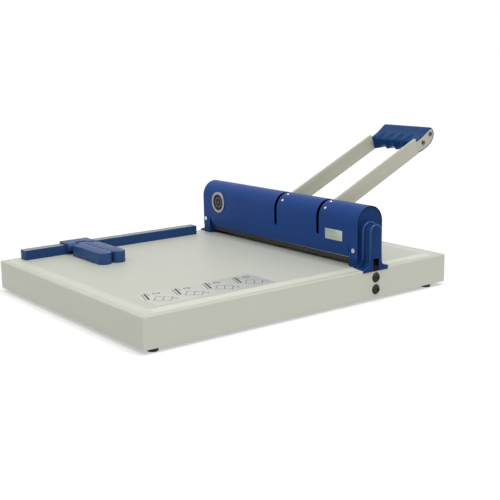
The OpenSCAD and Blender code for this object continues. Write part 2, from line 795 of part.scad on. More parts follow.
module fence_scale() color("#8d8a80") placed()
  block([(rail_out + rail_in - scale_w) / 2, rail_y, rail_top - scale_t],
        [(rail_out + rail_in + scale_w) / 2, rail_y + rail_l - scale_short, rail_top]);

module fence_screws() color(steel) at_fence_screws()
  translate([0, 0, -table_t - table_rise]) mirror([0, 0, 1])
    pan_screw(fence_screw_d, head_ratio * fence_screw_d, fence_screw_head_h,
              table_t + table_rise + fence_screw_l);

// Flip stop

barrel_side = 2;
pin_x = rail_in + barrel_r + barrel_side;
pin_z = table_z + pin_rise;
carriage_top = rail_top + gap + carriage_t;
leg_gap = 0.5;
leg_x = rail_out - leg_gap;
leg_rise = 3;
barrel_gap = 0.5;
heel_extra = 6;
heel = barrel_r + heel_extra;
stop_bottom = table_z + gap;
stop_top = pin_z + barrel_r;
knuckle_half = tongue_barrel_w / 2 + barrel_gap;
pressure_screw_d = 5;
knob_l = 5;

module at_pin() at_stop() translate([pin_x, 0, pin_z]) children();

module stop_carriage() color(blue) difference() {
  union() {
    at_stop() {
      block([leg_x - carriage_t, -carriage_l / 2, rail_top + gap], [pin_x, carriage_l / 2, carriage_top]);
      block([leg_x - carriage_t, -carriage_l / 2, table_z + leg_rise],
            [leg_x, carriage_l / 2, carriage_top]);
      block([pin_x - barrel_r, -carriage_l / 2, pin_z], [pin_x, carriage_l / 2, carriage_top]);
    }
    at_pin() bar_y(barrel_r, -carriage_l / 2, carriage_l / 2);
  }
  at_stop() block([pin_x - barrel_r - barrel_side, -knuckle_half, table_z],
                  [pin_x + heel, knuckle_half, carriage_top + past]);
  at_pin() bar_y(pin_d / 2 + fit, -carriage_l, carriage_l);
  at_stop() translate([0, 0, keep_z])
    bar_x(pressure_screw_d / 2 + fit, leg_x - 2 * carriage_t, leg_x + past);
}

module stop_pin() color(steel) at_pin() bar_y(pin_d / 2, -carriage_l / 2, carriage_l / 2);

module stop_friction_pad() color("ivory") at_stop()
  block([leg_x, -carriage_l / 6, keep_z - keep_h / 2 + gap],
        [rail_out + keep_depth - gap, carriage_l / 6, keep_z + keep_h / 2 - gap]);

module stop_pressure_screw() color(black) at_stop() translate([0, 0, keep_z]) {
  bar_x(pressure_screw_d / 2, leg_x - carriage_t - past, leg_x);
  bar_x(knob_d / 2, leg_x - carriage_t - knob_l, leg_x - carriage_t);
}

// Plan of one finger, with a round tip
module finger_plan(y) {
  translate([pin_x + heel, y - finger_w / 2]) square([stop_l - heel - finger_w / 2, finger_w]);
  translate([pin_x + stop_l - finger_w / 2, y]) circle(finger_w / 2);
}

module stop_arm() color(blue) difference() {
  union() {
    at_stop() translate([0, 0, stop_bottom]) linear_extrude(stop_top - stop_bottom) {
      for (side = [-1, 1]) finger_plan(finger_shift + side * (finger_w + finger_gap) / 2);
      translate([pin_x + heel, finger_shift - finger_gap])
        square([stop_l - heel - finger_w / 2, 2 * finger_gap]);
    }
    at_pin() bar_y(barrel_r, -tongue_barrel_w / 2, tongue_barrel_w / 2);
    at_stop() block([pin_x, -tongue_barrel_w / 2, pin_z - barrel_r],
                    [pin_x + 2 * heel, tongue_barrel_w / 2, stop_top]);
  }
  at_stop() block([pin_x + heel - past, finger_shift - finger_gap / 2, stop_top - finger_groove],
                  [pin_x + stop_l, finger_shift + finger_gap / 2, stop_top + past]);
  at_pin() bar_y(pin_d / 2 + fit, -carriage_l, carriage_l);
}

// Drive

shaft_end = plate_in + bush_l - gap;

module drive_shaft() color(steel) at_press() translate([0, 0, shaft_z])
  bar_x(shaft_d / 2, -shaft_end, shaft_end);

// Distance from the shaft to the cam's flat tangent at an angle, turned back from the tappet:
// it climbs evenly through the lever's turn and falls back smoothly through the rest
cam_margin = 8;
cam_back = full_turn - lever_turn - 2 * cam_margin;
cam_da = 0.5;
function cam_reach(a) = a <= lever_turn + cam_margin
  ? cam_r + cam_gain * a
  : cam_r - cam_gain * cam_margin
    + cam_gain * (lever_turn + 2 * cam_margin)
      * (1 + cos(full_turn / 2 * (a - lever_turn - cam_margin) / cam_back)) / 2;
function cam_slope(a) = (cam_reach(a + cam_da) - cam_reach(a - cam_da)) / (2 * cam_da) * 180 / PI;
function cam_point(a) = let (d = -full_turn / 4 - a, p = cam_reach(a), s = -cam_slope(a))
  [p * cos(d) - s * sin(d), p * sin(d) + s * cos(d)];
cam_steps = 72;
cam_outline = [for (i = [0:cam_steps - 1]) cam_point(-cam_margin + i * full_turn / cam_steps)];

module press_cams() color(steel) difference() {
  both_sides() at_press() translate([0, 0, shaft_z]) {
    along_x(cam_x - cam_w / 2, cam_x + cam_w / 2) polygon(cam_outline);
    bar_x(collar_d / 2, cam_x - cam_w / 2 - collar_l, cam_x);
  }
  at_press() translate([0, 0, shaft_z]) bar_x(shaft_d / 2 + fit, -2 * cam_x, 2 * cam_x);
  at_set_screws() bar_z(set_screw_d / 2 + fit, 0, collar_d);
}

// Middles of the four clamp collars along the shaft
collar_xs = [
  -cam_x + (cam_w + collar_l) / 2, cam_x - (cam_w + collar_l) / 2,
  arm_xs[0] + (arm_t + collar_l) / 2, arm_xs[1] - (arm_t + collar_l) / 2
];

module at_set_screws() on_lever() for (x = collar_xs) translate([x, 0, 0]) children();

module arm_hubs() color(steel) difference() {
  on_lever() for (i = [2, 3]) translate([collar_xs[i], 0, 0])
    bar_x(collar_d / 2, -collar_l / 2, collar_l / 2);
  on_lever() bar_x(shaft_d / 2 + fit, -cam_x, cam_x);
  at_set_screws() bar_z(set_screw_d / 2 + fit, 0, collar_d);
}

set_sunk = 0.4;
set_socket = 1.2;

module set_screws() color(black) at_set_screws() difference() {
  bar_z(set_screw_d / 2, shaft_d / 2 + fit, collar_d / 2 - set_sunk);
  translate([0, 0, collar_d / 2 - set_sunk - set_socket])
    cylinder(d = set_screw_d / 2, h = set_screw_d, $fn = 6);
}

// Lever

grip_screw_thread = 4;
grip_screw_up = 2;
grip_screw_l = 14;

// An arm whose tang starts at its inner face and stays behind its outer face
module arm(x, tang_x) color(cream) on_lever() difference() {
  union() {
    along_x(x - arm_t / 2, x + arm_t / 2) {
      circle(arm_w / 2);
      polygon([
        [0, -arm_w / 2], [shoulder_at(-arm_w / 2), -arm_w / 2],
        [shoulder_at(arm_w / 2), arm_w / 2], [0, arm_w / 2]
      ]);
    }
    along_x(tang_x, tang_x + tang_t) polygon(tang_outline);
  }
  bar_x(shaft_d / 2 + fit, x - arm_t, x + arm_t);
  for (p = grip_screws_at) translate([0, p[0], p[1]])
    bar_x(grip_screw_thread / 2 + fit, x - arm_t, x + arm_t);
}

module left_arm() arm(arm_xs[0], grip_x0 - tang_t);
module right_arm() arm(arm_xs[1], grip_x1);

grip_x0 = arm_xs[0] + arm_t / 2;
grip_x1 = arm_xs[1] - arm_t / 2;
finger_r = 13;
finger_lean = 10;
grip_margin = 13.5;
grip_face = (grip_under[0][0] + grip_upper[3][0]) / 2;
finger_pitch = (grip_x1 - grip_x0 - grip_margin) / finger_count;
finger_x = lever_x - (finger_count - 1) / 2 * finger_pitch;

module hand_grip() color(blue) on_lever() difference() {
  along_x(grip_x0 - tang_t, grip_x1 + tang_t) polygon(grip_outline);
  for (x = [grip_x0 - tang_t - past, grip_x1])
    along_x(x, x + tang_t + past) polygon(grown(tang_outline, tang_fit));
  for (i = [0:finger_count - 1])
    translate([finger_x + i * finger_pitch, grip_face + finger_depth - finger_r, 0])
      rotate([-finger_lean, 0, 0]) bar_z(finger_r, -2 * grip_h, 2 * grip_h);
  for (p = grip_screws_at) translate([0, p[0], p[1]]) {
    bar_x(grip_screw_thread / 2 + fit, grip_x0 - past, grip_x0 + grip_screw_l);
    bar_x(grip_screw_thread / 2 + fit, grip_x1 - grip_screw_l, grip_x1 + past);
  }
}

module grip_screws() color(steel) on_lever() for (p = grip_screws_at) translate([0, p[0], p[1]]) {
  translate([grip_x1 + tang_t, 0, 0]) rotate([0, 90, 0])
    pan_screw(grip_screw_thread, grip_screw_d, grip_screw_up, tang_t + grip_screw_l - past);
  translate([grip_x0 - tang_t, 0, 0]) rotate([0, -90, 0])
    pan_screw(grip_screw_thread, grip_screw_d, grip_screw_up, tang_t + grip_screw_l - past);
}

// Pressing beam

tappet_screw_thread = 5;
tappet_head_d = 8.5;
tappet_head_h = 5;
tappet_head_sunk = 5.5;
tappet_screw_grip = 10;
rule_short = 2.5;
rule_half_l = plate_in - rule_short;
rule_screw_in = 20;
rule_screw_x = cam_x - rule_screw_in;
rule_screw_sunk = 1;
rule_screw_d = 4;
rule_screw_z = beam_z + rule_h / 2;

module at_tappet_screws() at_press() for (x = [-cam_x, cam_x]) for (y = [-tappet_screw_y, tappet_screw_y])
  translate([x, y, 0]) children();

module at_rule_screws() at_press() for (i = [-1:1])
  translate([i * rule_screw_x, 0, rule_screw_z]) children();

module press_beam() color(dark_steel) difference() {
  at_press() {
    block([-beam_half_l, -beam_d / 2, beam_z], [beam_half_l, beam_d / 2, beam_top]);
    block([-beam_half_l - tongue_l, -tongue_w / 2, beam_top - tongue_h],
          [beam_half_l + tongue_l, tongue_w / 2, beam_top]);
  }
  at_press() block([-beam_half_l - past, -rule_t / 2 - fit, beam_z - past],
                   [beam_half_l + past, rule_t / 2 + fit, beam_z - rule_out + rule_h + fit]);
  at_tappet_screws() {
    bar_z(tappet_screw_thread / 2 + fit, beam_z - past, beam_top + past);
    bar_z(tappet_head_d / 2 + fit, beam_z - past, beam_z + tappet_head_sunk);
  }
  at_rule_screws() bar_y(rule_screw_d / 2 + fit, 0, beam_d);
}

module tappet_blocks() color(bronze) difference() {
  at_press() for (x = [-cam_x, cam_x])
    block([x - tappet_w / 2, -tappet_d / 2, beam_top], [x + tappet_w / 2, tappet_d / 2, tappet_top]);
  at_tappet_screws()
    bar_z(tappet_screw_thread / 2 + fit, beam_top - past, beam_top + tappet_screw_grip + past);
}

module tappet_screws() color(black) at_tappet_screws() {
  bar_z(tappet_screw_thread / 2, beam_z + tappet_head_sunk - past, beam_top + tappet_screw_grip);
  difference() {
    bar_z(tappet_head_d / 2, beam_z + tappet_head_sunk - tappet_head_h, beam_z + tappet_head_sunk);
    translate([0, 0, beam_z]) cylinder(d = tappet_head_d / 2, h = tappet_head_h / 2, $fn = 6);
  }
}

module creasing_rule() color(steel) at_press()
  block([-rule_half_l, -rule_t / 2, beam_z - rule_out],
        [rule_half_l, rule_t / 2, beam_z - rule_out + rule_h]);

module rule_screws() color(black) at_rule_screws()
  bar_y(rule_screw_d / 2, rule_t / 2 + fit, beam_d / 2 - rule_screw_sunk);

// Return springs: one unbroken tube each, on a helix with six-sided wire and eight rings a turn

spring_rings = 8;
wire_sides = 6;
spring_r = (spring_d - wire_d) / 2;
spring_l = spring_top - spring_bottom - 2 * fit;
spring_pitch = (spring_l - wire_d) / spring_turns;
spring_steps = spring_turns * spring_rings;
spring_points = [
  for (i = [0:spring_steps]) for (j = [0:wire_sides - 1])
    let (a = i * full_turn / spring_rings, b = j * full_turn / wire_sides,
         r = spring_r + wire_d / 2 * cos(b))
      [r * cos(a), r * sin(a), wire_d / 2 + i * spring_pitch / spring_rings + wire_d / 2 * sin(b)]
];
spring_sides = [
  for (i = [0:spring_steps - 1]) for (j = [0:wire_sides - 1])
    let (k = (j + 1) % wire_sides, a = i * wire_sides, b = a + wire_sides)
      each [[a + j, b + j, b + k], [a + j, b + k, a + k]]
];
spring_caps = [
  for (j = [1:wire_sides - 2]) let (e = spring_steps * wire_sides)
    each [[0, j, j + 1], [e, e + j + 1, e + j]]
];
spring_least = min([
  for (i = [0:spring_steps - spring_rings + 1]) for (j = [0:wire_sides - 1])
    for (m = [spring_rings - 1:min(spring_rings + 1, spring_steps - i)]) for (k = [0:wire_sides - 1])
      norm(spring_points[i * wire_sides + j] - spring_points[(i + m) * wire_sides + k])
]);
echo("least gap between a spring's turns", spring_least);

module return_springs() color(steel) both_sides() at_press() translate([spring_x, 0, spring_bottom + fit])
  polyhedron(spring_points, concat(spring_sides, spring_caps));

base_case();
table_plate();
bed_beam();
matrix_bar();
bed_screws();
rubber_feet();
foot_screws();
left_bracket();
right_bracket();
bracket_bolts();
shaft_bushes();
housing_cover();
cover_screws();
slot_guides();
slot_rivets();
badge_ring();
badge_face();
blank_plate();
instruction_label();
fence_rail();
fence_scale();
fence_screws();
stop_carriage();
stop_pin();
stop_friction_pad();
stop_pressure_screw();
stop_arm();
drive_shaft();
press_cams();
arm_hubs();
set_screws();
left_arm();
right_arm();
hand_grip();
grip_screws();
press_beam();
tappet_blocks();
tappet_screws();
creasing_rule();
rule_screws();
return_springs();
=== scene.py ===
# %% [markdown]
# # A hand creasing press
#
# The machine creases card: a lever turns a shaft, two cams push a beam down, and a steel rule on the
# beam presses the card into a grooved bar in the table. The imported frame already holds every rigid
# piece at its real size. This lesson gives the pieces their finishes, rounds the edges that a casting,
# a moulding or a folded sheet would have, and models the grip and the printed details.

import json
import math

import bmesh
import bpy
import numpy as np
from mathutils import Matrix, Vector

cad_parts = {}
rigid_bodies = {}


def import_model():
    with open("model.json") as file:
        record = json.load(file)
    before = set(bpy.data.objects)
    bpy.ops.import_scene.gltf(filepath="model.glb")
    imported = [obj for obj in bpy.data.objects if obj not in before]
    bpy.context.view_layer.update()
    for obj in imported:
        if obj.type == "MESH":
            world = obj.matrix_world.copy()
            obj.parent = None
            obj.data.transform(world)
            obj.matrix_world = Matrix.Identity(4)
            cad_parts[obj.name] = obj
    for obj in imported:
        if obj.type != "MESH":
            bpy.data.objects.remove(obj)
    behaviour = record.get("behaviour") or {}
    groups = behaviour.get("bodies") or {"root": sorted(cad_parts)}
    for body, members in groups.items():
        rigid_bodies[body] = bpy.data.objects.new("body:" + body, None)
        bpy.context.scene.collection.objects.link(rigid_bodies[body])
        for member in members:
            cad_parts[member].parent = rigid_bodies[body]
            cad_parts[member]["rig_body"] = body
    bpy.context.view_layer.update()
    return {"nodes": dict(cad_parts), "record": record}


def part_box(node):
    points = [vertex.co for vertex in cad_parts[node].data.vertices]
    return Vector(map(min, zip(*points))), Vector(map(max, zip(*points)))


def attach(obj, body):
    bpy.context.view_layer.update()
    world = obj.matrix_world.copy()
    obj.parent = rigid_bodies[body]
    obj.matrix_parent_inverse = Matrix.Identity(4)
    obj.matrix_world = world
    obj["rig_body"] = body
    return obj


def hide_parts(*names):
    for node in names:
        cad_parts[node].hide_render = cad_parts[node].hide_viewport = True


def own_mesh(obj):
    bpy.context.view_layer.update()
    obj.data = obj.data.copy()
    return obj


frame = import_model()
MM = 0.001

# %% [markdown]
# ## Camera
#
# The camera stands to the operator's right, a little above the table, with a short telephoto lens. Its
# place was worked out from the straight edges of the case, so it is written as numbers: two angles, a
# small roll and a position measured from the front of the case.

# %% Camera
CAMERA_AZIMUTH, CAMERA_ELEVATION, CAMERA_ROLL = 52.58, 11.93, -0.92
CAMERA_FROM_CASE_FRONT = (1151.2, -559.35, 357.87)
LENS_MM, SENSOR_MM, CLIP_M = 68.56, 36.0, (0.01, 100.0)


def box_mm(node):
    """Lowest and highest corner of a frame node at rest, in millimetres."""
    low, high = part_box(node)
    return np.array(low) / MM, np.array(high) / MM


case_low, case_high = box_mm("base_case")


def camera_axes(azimuth, elevation, roll):
    """Columns right, up and back of a camera, from its angles in degrees. Back points from the scene to the
    camera, right is level and up is square to both. Roll then turns right towards up."""
    a, e, r = np.radians([azimuth, elevation, roll])
    back = np.array([np.sin(a) * np.cos(e), -np.cos(a) * np.cos(e), np.sin(e)])
    right = np.array([np.cos(a), np.sin(a), 0.0])
    up = np.cross(back, right)
    rolled_right = np.cos(r) * right + np.sin(r) * up
    rolled_up = np.cos(r) * up - np.sin(r) * right
    return np.stack([rolled_right, rolled_up, back], axis=1)


def make_camera():
    """The camera that renders, turned by its axes and placed from the front of the case."""
    data = bpy.data.cameras.new("camera")
    data.lens, data.sensor_width = LENS_MM, SENSOR_MM
    data.clip_start, data.clip_end = CLIP_M
    camera = bpy.data.objects.new("camera", data)
    place = np.eye(4)
    place[:3, :3] = camera_axes(CAMERA_AZIMUTH, CAMERA_ELEVATION, CAMERA_ROLL)
    place[:3, 3] = (np.array(CAMERA_FROM_CASE_FRONT) + [0, case_low[1], 0]) * MM
    camera.matrix_world = Matrix(place.tolist())
    bpy.context.scene.collection.objects.link(camera)
    bpy.context.scene.camera = camera
    return camera


print("camera at", [round(v, 3) for v in make_camera().matrix_world.translation])

# %% [markdown]
# ## Floor and light
#
# The machine stands on a plain white floor. A far lamp with a wide disc, high up to the right and a little
# in front, lights the table and the right side. A weaker one with a narrow disc, nearly overhead and a
# little behind, throws the housing's short shadow forward. An even glow from the world and the light that
# the floor sends back do the rest. To the camera and in reflections the world is white, and the floor is
# lifted to white where no shadow falls.

# %% Floor and light
scene = bpy.context.scene
scene.view_settings.view_transform = "Standard"
WORLD_GLOW = 0.54
# Name of a lamp, the way to its source, its strength and the width of its disc in degrees
SUNS = (
    ("wide_lamp", (0.42, -0.15, 0.90), 0.98, 50),
    ("narrow_lamp", (0.15, 0.17, 0.97), 0.4, 6),
)
FLOOR_GREY, FLOOR_ROUGH, FLOOR_LIFT, FLOOR_HALF = 0.66, 0.9, 0.42, 9.0


def seen_directly(tree):
    """A socket that is 1 for camera, mirror and see-through rays, and 0 for rays that only carry light."""
    path = tree.nodes.new("ShaderNodeLightPath")
    total = path.outputs["Is Camera Ray"]
    for name in ("Is Glossy Ray", "Is Transmission Ray"):
        add = tree.nodes.new("ShaderNodeMath")
        add.operation, add.use_clamp = "ADD", True
        tree.links.new(total, add.inputs[0])
        tree.links.new(path.outputs[name], add.inputs[1])
        total = add.outputs[0]
    return total


def make_world():
    """An even glow that lights the object, and plain white where the world itself is seen or mirrored."""
    world = bpy.data.worlds.new("studio")
    scene.world = world
    world.use_nodes = True
    tree = world.node_tree
    tree.nodes.clear()
    glow, white = (tree.nodes.new("ShaderNodeBackground") for _ in range(2))
    glow.inputs["Color"].default_value = white.inputs["Color"].default_value = (1, 1, 1, 1)
    glow.inputs["Strength"].default_value = WORLD_GLOW
    mix = tree.nodes.new("ShaderNodeMixShader")
    out = tree.nodes.new("ShaderNodeOutputWorld")
    tree.links.new(seen_directly(tree), mix.inputs["Fac"])
    tree.links.new(glow.outputs[0], mix.inputs[1])
    tree.links.new(white.outputs[0], mix.inputs[2])
    tree.links.new(mix.outputs[0], out.inputs["Surface"])


def make_sun(name, source, strength, disc):
    """A far lamp whose own Z axis points back to its source, with a disc of that many degrees."""
    data = bpy.data.lights.new(name, "SUN")
    data.energy, data.angle = strength, math.radians(disc)
    back = np.array(source) / np.linalg.norm(source)
    right = np.cross([0, 1, 0], back)
    right /= np.linalg.norm(right)
    turn = np.eye(4)
    turn[:3, :3] = np.stack([right, np.cross(back, right), back], axis=1)
    lamp = bpy.data.objects.new(name, data)
    lamp.matrix_world = Matrix(turn.tolist())
    scene.collection.objects.link(lamp)


def make_floor():
    """A square of white floor that keeps the shadows, and glows a little where it is seen directly."""
    corners = np.array([[-1, -1, 0], [1, -1, 0], [1, 1, 0], [-1, 1, 0]]) * FLOOR_HALF
    mesh = bpy.data.meshes.new("floor")
    mesh.from_pydata(corners.tolist(), [], [(0, 1, 2, 3)])
    floor = bpy.data.objects.new("floor", mesh)
    scene.collection.objects.link(floor)
    paint = bpy.data.materials.new("floor_white")
    paint.use_nodes = True
    tree = paint.node_tree
    shader = tree.nodes["Principled BSDF"]
    shader.inputs["Base Color"].default_value = (FLOOR_GREY, FLOOR_GREY, FLOOR_GREY, 1)
    shader.inputs["Roughness"].default_value = FLOOR_ROUGH
    shader.inputs["Specular IOR Level"].default_value = 0.0
    shader.inputs["Emission Color"].default_value = (1, 1, 1, 1)
    lift = tree.nodes.new("ShaderNodeMath")
    lift.operation = "MULTIPLY"
    lift.inputs[1].default_value = FLOOR_LIFT
    tree.links.new(seen_directly(tree), lift.inputs[0])
    tree.links.new(lift.outputs[0], shader.inputs["Emission Strength"])
    mesh.materials.append(paint)


make_world()
for sun in SUNS:
    make_sun(*sun)
make_floor()
print("stage: floor, world and", len(SUNS), "lamps")

# %% [markdown]
# ## Helpers for meshes
#
# Two kinds of piece are made here. A new shape is a grid of points from a formula, joined into quads. A
# softened piece is a copy of a frame node: its loose triangles are merged, flat ones are joined, and a
# Bevel rounds the edges, as a casting, a moulding or a painted edge has them.

# %% Helpers for meshes
SHARP, FLAT = math.radians(40), math.radians(0.5)
MERGE_M, BEVEL_SEGMENTS, NO_CREASE = 2e-6, 3, 180


def add_piece(name, mesh, body, material, replaces=()):
    """Puts a mesh into the scene as a piece that rides on a body, with a finish and the nodes that it
    stands for."""
    piece = bpy.data.objects.new(name, mesh)
    scene.collection.objects.link(piece)
    mesh.materials.clear()
    mesh.materials.append(material)
    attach(piece, body)
    if replaces:
        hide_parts(*replaces)
    return piece


def tube_mesh(name, points):
    """Quads over points of shape (rows, columns, 3) in metres, closed round the columns. A fan to the mean
    point of the first row and of the last closes each end."""
    rows, columns, _ = points.shape
    flat = np.concatenate([points.reshape(-1, 3), points[0].mean(0)[None], points[-1].mean(0)[None]])
    index = np.arange(rows * columns).reshape(rows, columns)
    index = np.concatenate([index, index[:, :1]], axis=1)
    corners = (index[:-1, :-1], index[:-1, 1:], index[1:, 1:], index[1:, :-1])
    quads = np.stack(corners, axis=-1).reshape(-1, 4)
    first, last = np.full(columns, len(flat) - 2), np.full(columns, len(flat) - 1)
    start = np.stack([index[0, 1:], index[0, :-1], first], axis=1)
    end = np.stack([index[-1, :-1], index[-1, 1:], last], axis=1)
    mesh = bpy.data.meshes.new(name)
    mesh.from_pydata(flat.tolist(), [], quads.tolist() + start.tolist() + end.tolist())
    mesh.polygons.foreach_set("use_smooth", np.ones(len(mesh.polygons), bool))
    mesh.set_sharp_from_angle(angle=SHARP)
    mesh.update()
    return mesh


def merged_copy(node, crease):
    """A copy of a frame node's mesh with its doubles merged and its flat triangles joined into faces. An edge
    that turns by more than the crease, in degrees, isn't smoothed over."""
    mesh = frame["nodes"][node].data.copy()
    work = bmesh.new()
    work.from_mesh(mesh)
    bmesh.ops.remove_doubles(work, verts=work.verts, dist=MERGE_M)
    bmesh.ops.dissolve_limit(work, angle_limit=FLAT, verts=work.verts, edges=work.edges)
    for face in work.faces:
        face.smooth = True
    work.to_mesh(mesh)
    work.free()
    mesh.set_sharp_from_angle(angle=math.radians(crease))
    return mesh


def weigh_edges(mesh, weight_of):
    """Gives each sharp convex edge a bevel weight by the place of its middle, and keeps the other sharp edges
    sharp."""
    work = bmesh.new()
    work.from_mesh(mesh)
    weight = work.edges.layers.float.new("bevel_weight_edge")
    for edge in work.edges:
        if edge.calc_face_angle(0) > SHARP:
            middle = (edge.verts[0].co + edge.verts[1].co) / (2 * MM)
            edge[weight] = weight_of(middle) if edge.is_convex else 0.0
            edge.smooth = edge[weight] > 0
    work.to_mesh(mesh)
    work.free()


def soften(node, material, radius, crease, weight_of, edge_material):
    """The node again with its sharp edges rounded to a radius in millimetres, by weight if a rule is given,
    and with a finish of their own if one is given."""
    mesh = merged_copy(node, crease)
    piece = add_piece(node + "_finished", mesh, frame["nodes"][node]["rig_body"], material, [node])
    bevel = piece.modifiers.new("edges", "BEVEL")
    bevel.width, bevel.segments = radius * MM, BEVEL_SEGMENTS
    bevel.limit_method, bevel.angle_limit = "ANGLE", SHARP
    bevel.harden_normals = True
    bevel.use_clamp_overlap = weight_of is None
    if weight_of:
        weigh_edges(mesh, weight_of)
        bevel.limit_method = "WEIGHT"
    if edge_material:
        mesh.materials.append(edge_material)
        bevel.material = 1
    return piece


print("mesh helpers ready")

# %% [markdown]
# ## Helpers for finishes
#
# Every finish is a Principled shader that reads Object coordinates, in metres. Noise at two scales
# varies the colour and the gloss a little, and a bump gives the surface its grain: the fine pebble of
# powder coat, the slight waviness of enamel, or the lines of a ground bar. A box in the same coordinates
# picks out a region of a piece, such as the flat of the table or the inside of a pocket.

# %% Helpers for finishes
NOISE_RANGE = (0.3, 0.7)
# Places of the colour sockets on a Mix node, which has others for numbers and vectors
MIX_BELOW, MIX_ABOVE, MIX_RESULT = 6, 7, 2


def shade(colour, factor):
    """A colour made darker or lighter: each part of it times a factor."""
    return tuple(c * factor for c in colour)


class Finish:
    """A material with a Principled shader, and short ways to add the nodes that the finishes share."""

    def __init__(self, name, rough, metallic=0.0, specular=0.5):
        self.material = bpy.data.materials.new(name)
        self.material.use_nodes = True
        self.tree = self.material.node_tree
        self.shader = self.tree.nodes["Principled BSDF"]
        self.shader.inputs["Roughness"].default_value = rough
        self.shader.inputs["Metallic"].default_value = metallic
        self.shader.inputs["Specular IOR Level"].default_value = specular
        self.coordinates = self.tree.nodes.new("ShaderNodeTexCoord").outputs["Object"]

    def node(self, kind, **settings):
        """A new shader node of a kind, with its settings."""
        made = self.tree.nodes.new("ShaderNode" + kind)
        for key, value in settings.items():
            setattr(made, key, value)
        return made

    def link(self, source, target):
        """Joins an output socket to an input."""
        self.tree.links.new(source, target)

    def math(self, operation, *values):
        """A Math node on sockets or plain numbers."""
        made = self.node("Math", operation=operation)
        for socket, value in zip(made.inputs, values):
            if isinstance(value, (int, float)):
                socket.default_value = value
            else:
                self.link(value, socket)
        return made.outputs[0]

    def place_mm(self):
        """X, Y and Z of a point in millimetres."""
        split = self.node("SeparateXYZ")
        self.link(self.coordinates, split.inputs[0])
        return [self.math("DIVIDE", axis, MM) for axis in split.outputs]

    def inside_box(self, low, high, soft, mirrored=False):
        """1 inside a box in millimetres and 0 outside, over a soft edge. On each axis, a point is past the
        box by its distance from the middle less half the width, and the largest of the three counts.
        Mirrored takes X without its sign."""
        place = self.place_mm()
        if mirrored:
            place[0] = self.math("ABSOLUTE", place[0])
        over = None
        for axis, a, b in zip(place, low, high):
            away = self.math("ABSOLUTE", self.math("SUBTRACT", axis, float(a + b) / 2))
            past = self.math("SUBTRACT", away, float(b - a) / 2)
            over = past if over is None else self.math("MAXIMUM", over, past)
        return self.ranged(over, 0.0, soft, 1.0, 0.0)

    def stretched(self, scale):
        """Object coordinates multiplied by a scale on each axis, so that noise can run in lines."""
        mapping = self.node("Mapping")
        mapping.inputs["Scale"].default_value = scale
        self.link(self.coordinates, mapping.inputs["Vector"])
        return mapping.outputs["Vector"]

    def noise(self, per_metre, detail=2.0, vector=None):
        """Noise from 0 to 1, of about so many waves to the metre."""
        made = self.node("TexNoise")
        made.inputs["Scale"].default_value = per_metre
        made.inputs["Detail"].default_value = detail
        self.link(vector or self.coordinates, made.inputs["Vector"])
        return made.outputs["Fac"]

    def ranged(self, value, from_low, from_high, to_low, to_high):
        """A value taken from one range to another in a straight line, and held past the ends."""
        made = self.node("MapRange")
        ends = {"From Min": from_low, "From Max": from_high, "To Min": to_low, "To Max": to_high}
        for name, number in ends.items():
            made.inputs[name].default_value = number
        self.link(value, made.inputs["Value"])
        return made.outputs["Result"]

    def spread(self, factor, low, high):
        """Takes noise, which mostly lies in NOISE_RANGE, to a range of numbers."""
        return self.ranged(factor, *NOISE_RANGE, low, high)

    def two_colours(self, factor, low, high):
        """Takes noise over NOISE_RANGE from one colour to another."""
        made = self.node("ValToRGB")
        for element, position, colour in zip(made.color_ramp.elements, NOISE_RANGE, (low, high)):
            element.position = position
            element.color = (*colour, 1)
        self.link(factor, made.inputs["Fac"])
        return made.outputs["Color"]

    def varied(self, factor, colour, variation):
        """One colour, darker and lighter by a share of itself as noise goes down and up."""
        return self.two_colours(factor, shade(colour, 1 - variation), shade(colour, 1 + variation))

    def gloss(self, factor, low, high):
        """Roughness that follows noise from a low to a high number."""
        self.link(self.spread(factor, low, high), self.shader.inputs["Roughness"])

    def over(self, factor, below, above):
        """One colour laid over another where the factor is 1."""
        made = self.node("Mix", data_type="RGBA")
        self.link(factor, made.inputs["Factor"])
        for socket, colour in ((made.inputs[MIX_BELOW], below), (made.inputs[MIX_ABOVE], above)):
            if isinstance(colour, tuple):
                socket.default_value = (*colour, 1)
            else:
                self.link(colour, socket)
        return made.outputs[MIX_RESULT]

    def colour(self, socket):
        """Makes a socket the finish's colour."""
        self.link(socket, self.shader.inputs["Base Color"])

    def bump(self, height, strength, depth_mm):
        """Makes the surface look uneven: a value is taken for a height, with a depth in millimetres."""
        made = self.node("Bump")
        made.inputs["Strength"].default_value = strength
        made.inputs["Distance"].default_value = depth_mm * MM
        self.link(height, made.inputs["Height"])
        self.link(made.outputs["Normal"], self.shader.inputs["Normal"])


print("finish helpers ready")

# %% [markdown]
# ## Paint
#
# The case and the table are powder coated in a greenish cream: a fine pebble with little gloss. The flat
# of the table is a greyer cream than its border, and the arms are a yellower cream. The border's long sides
# are painted paler, a painted highlight. The cover and the brackets wear a smooth blue enamel whose surface
# waves slightly. Painted shade makes it nearly black inside the slots, the slits and the brackets' pockets
# and on the cover's cut ends. A painted highlight, pale grey, runs along the cover's lower edge. A finish
# that changes within a piece mixes two colours by a box in Object coordinates, so that no extra geometry is
# needed.

# %% Paint
CREAM = (0.68, 0.69, 0.59)
TABLE_CREAM = (0.60, 0.615, 0.535)
ARM_CREAM = (0.56, 0.553, 0.452)
BLUE = (0.0115, 0.060, 0.265)
CAST_BLUE = (0.008, 0.042, 0.165)
RAIL_BLUE = (0.024, 0.066, 0.187)
# Pale grey of the painted highlight on the cover's lip, and the near-black of painted shade in pockets and
# slots
LIP_HIGHLIGHT_GREY, POCKET_SHADE_BLUE = (0.42, 0.41, 0.38), (0.002, 0.003, 0.008)
# Painted highlights: the border's long sides and the case's folded edges are painted paler; the rim is a
# darker cream
SIDE_HIGHLIGHT_CREAM, EDGE_HIGHLIGHT_CREAM, RIM_CREAM = (0.75, 0.76, 0.65), (0.90, 0.91, 0.78), (0.62, 0.63, 0.54)
# Noise in the colour and the gloss: waves to the metre and detail
CLOUD, GLOSS_PATCHES, GLOSS_SPREAD = (9, 3), (60, 3), 0.05
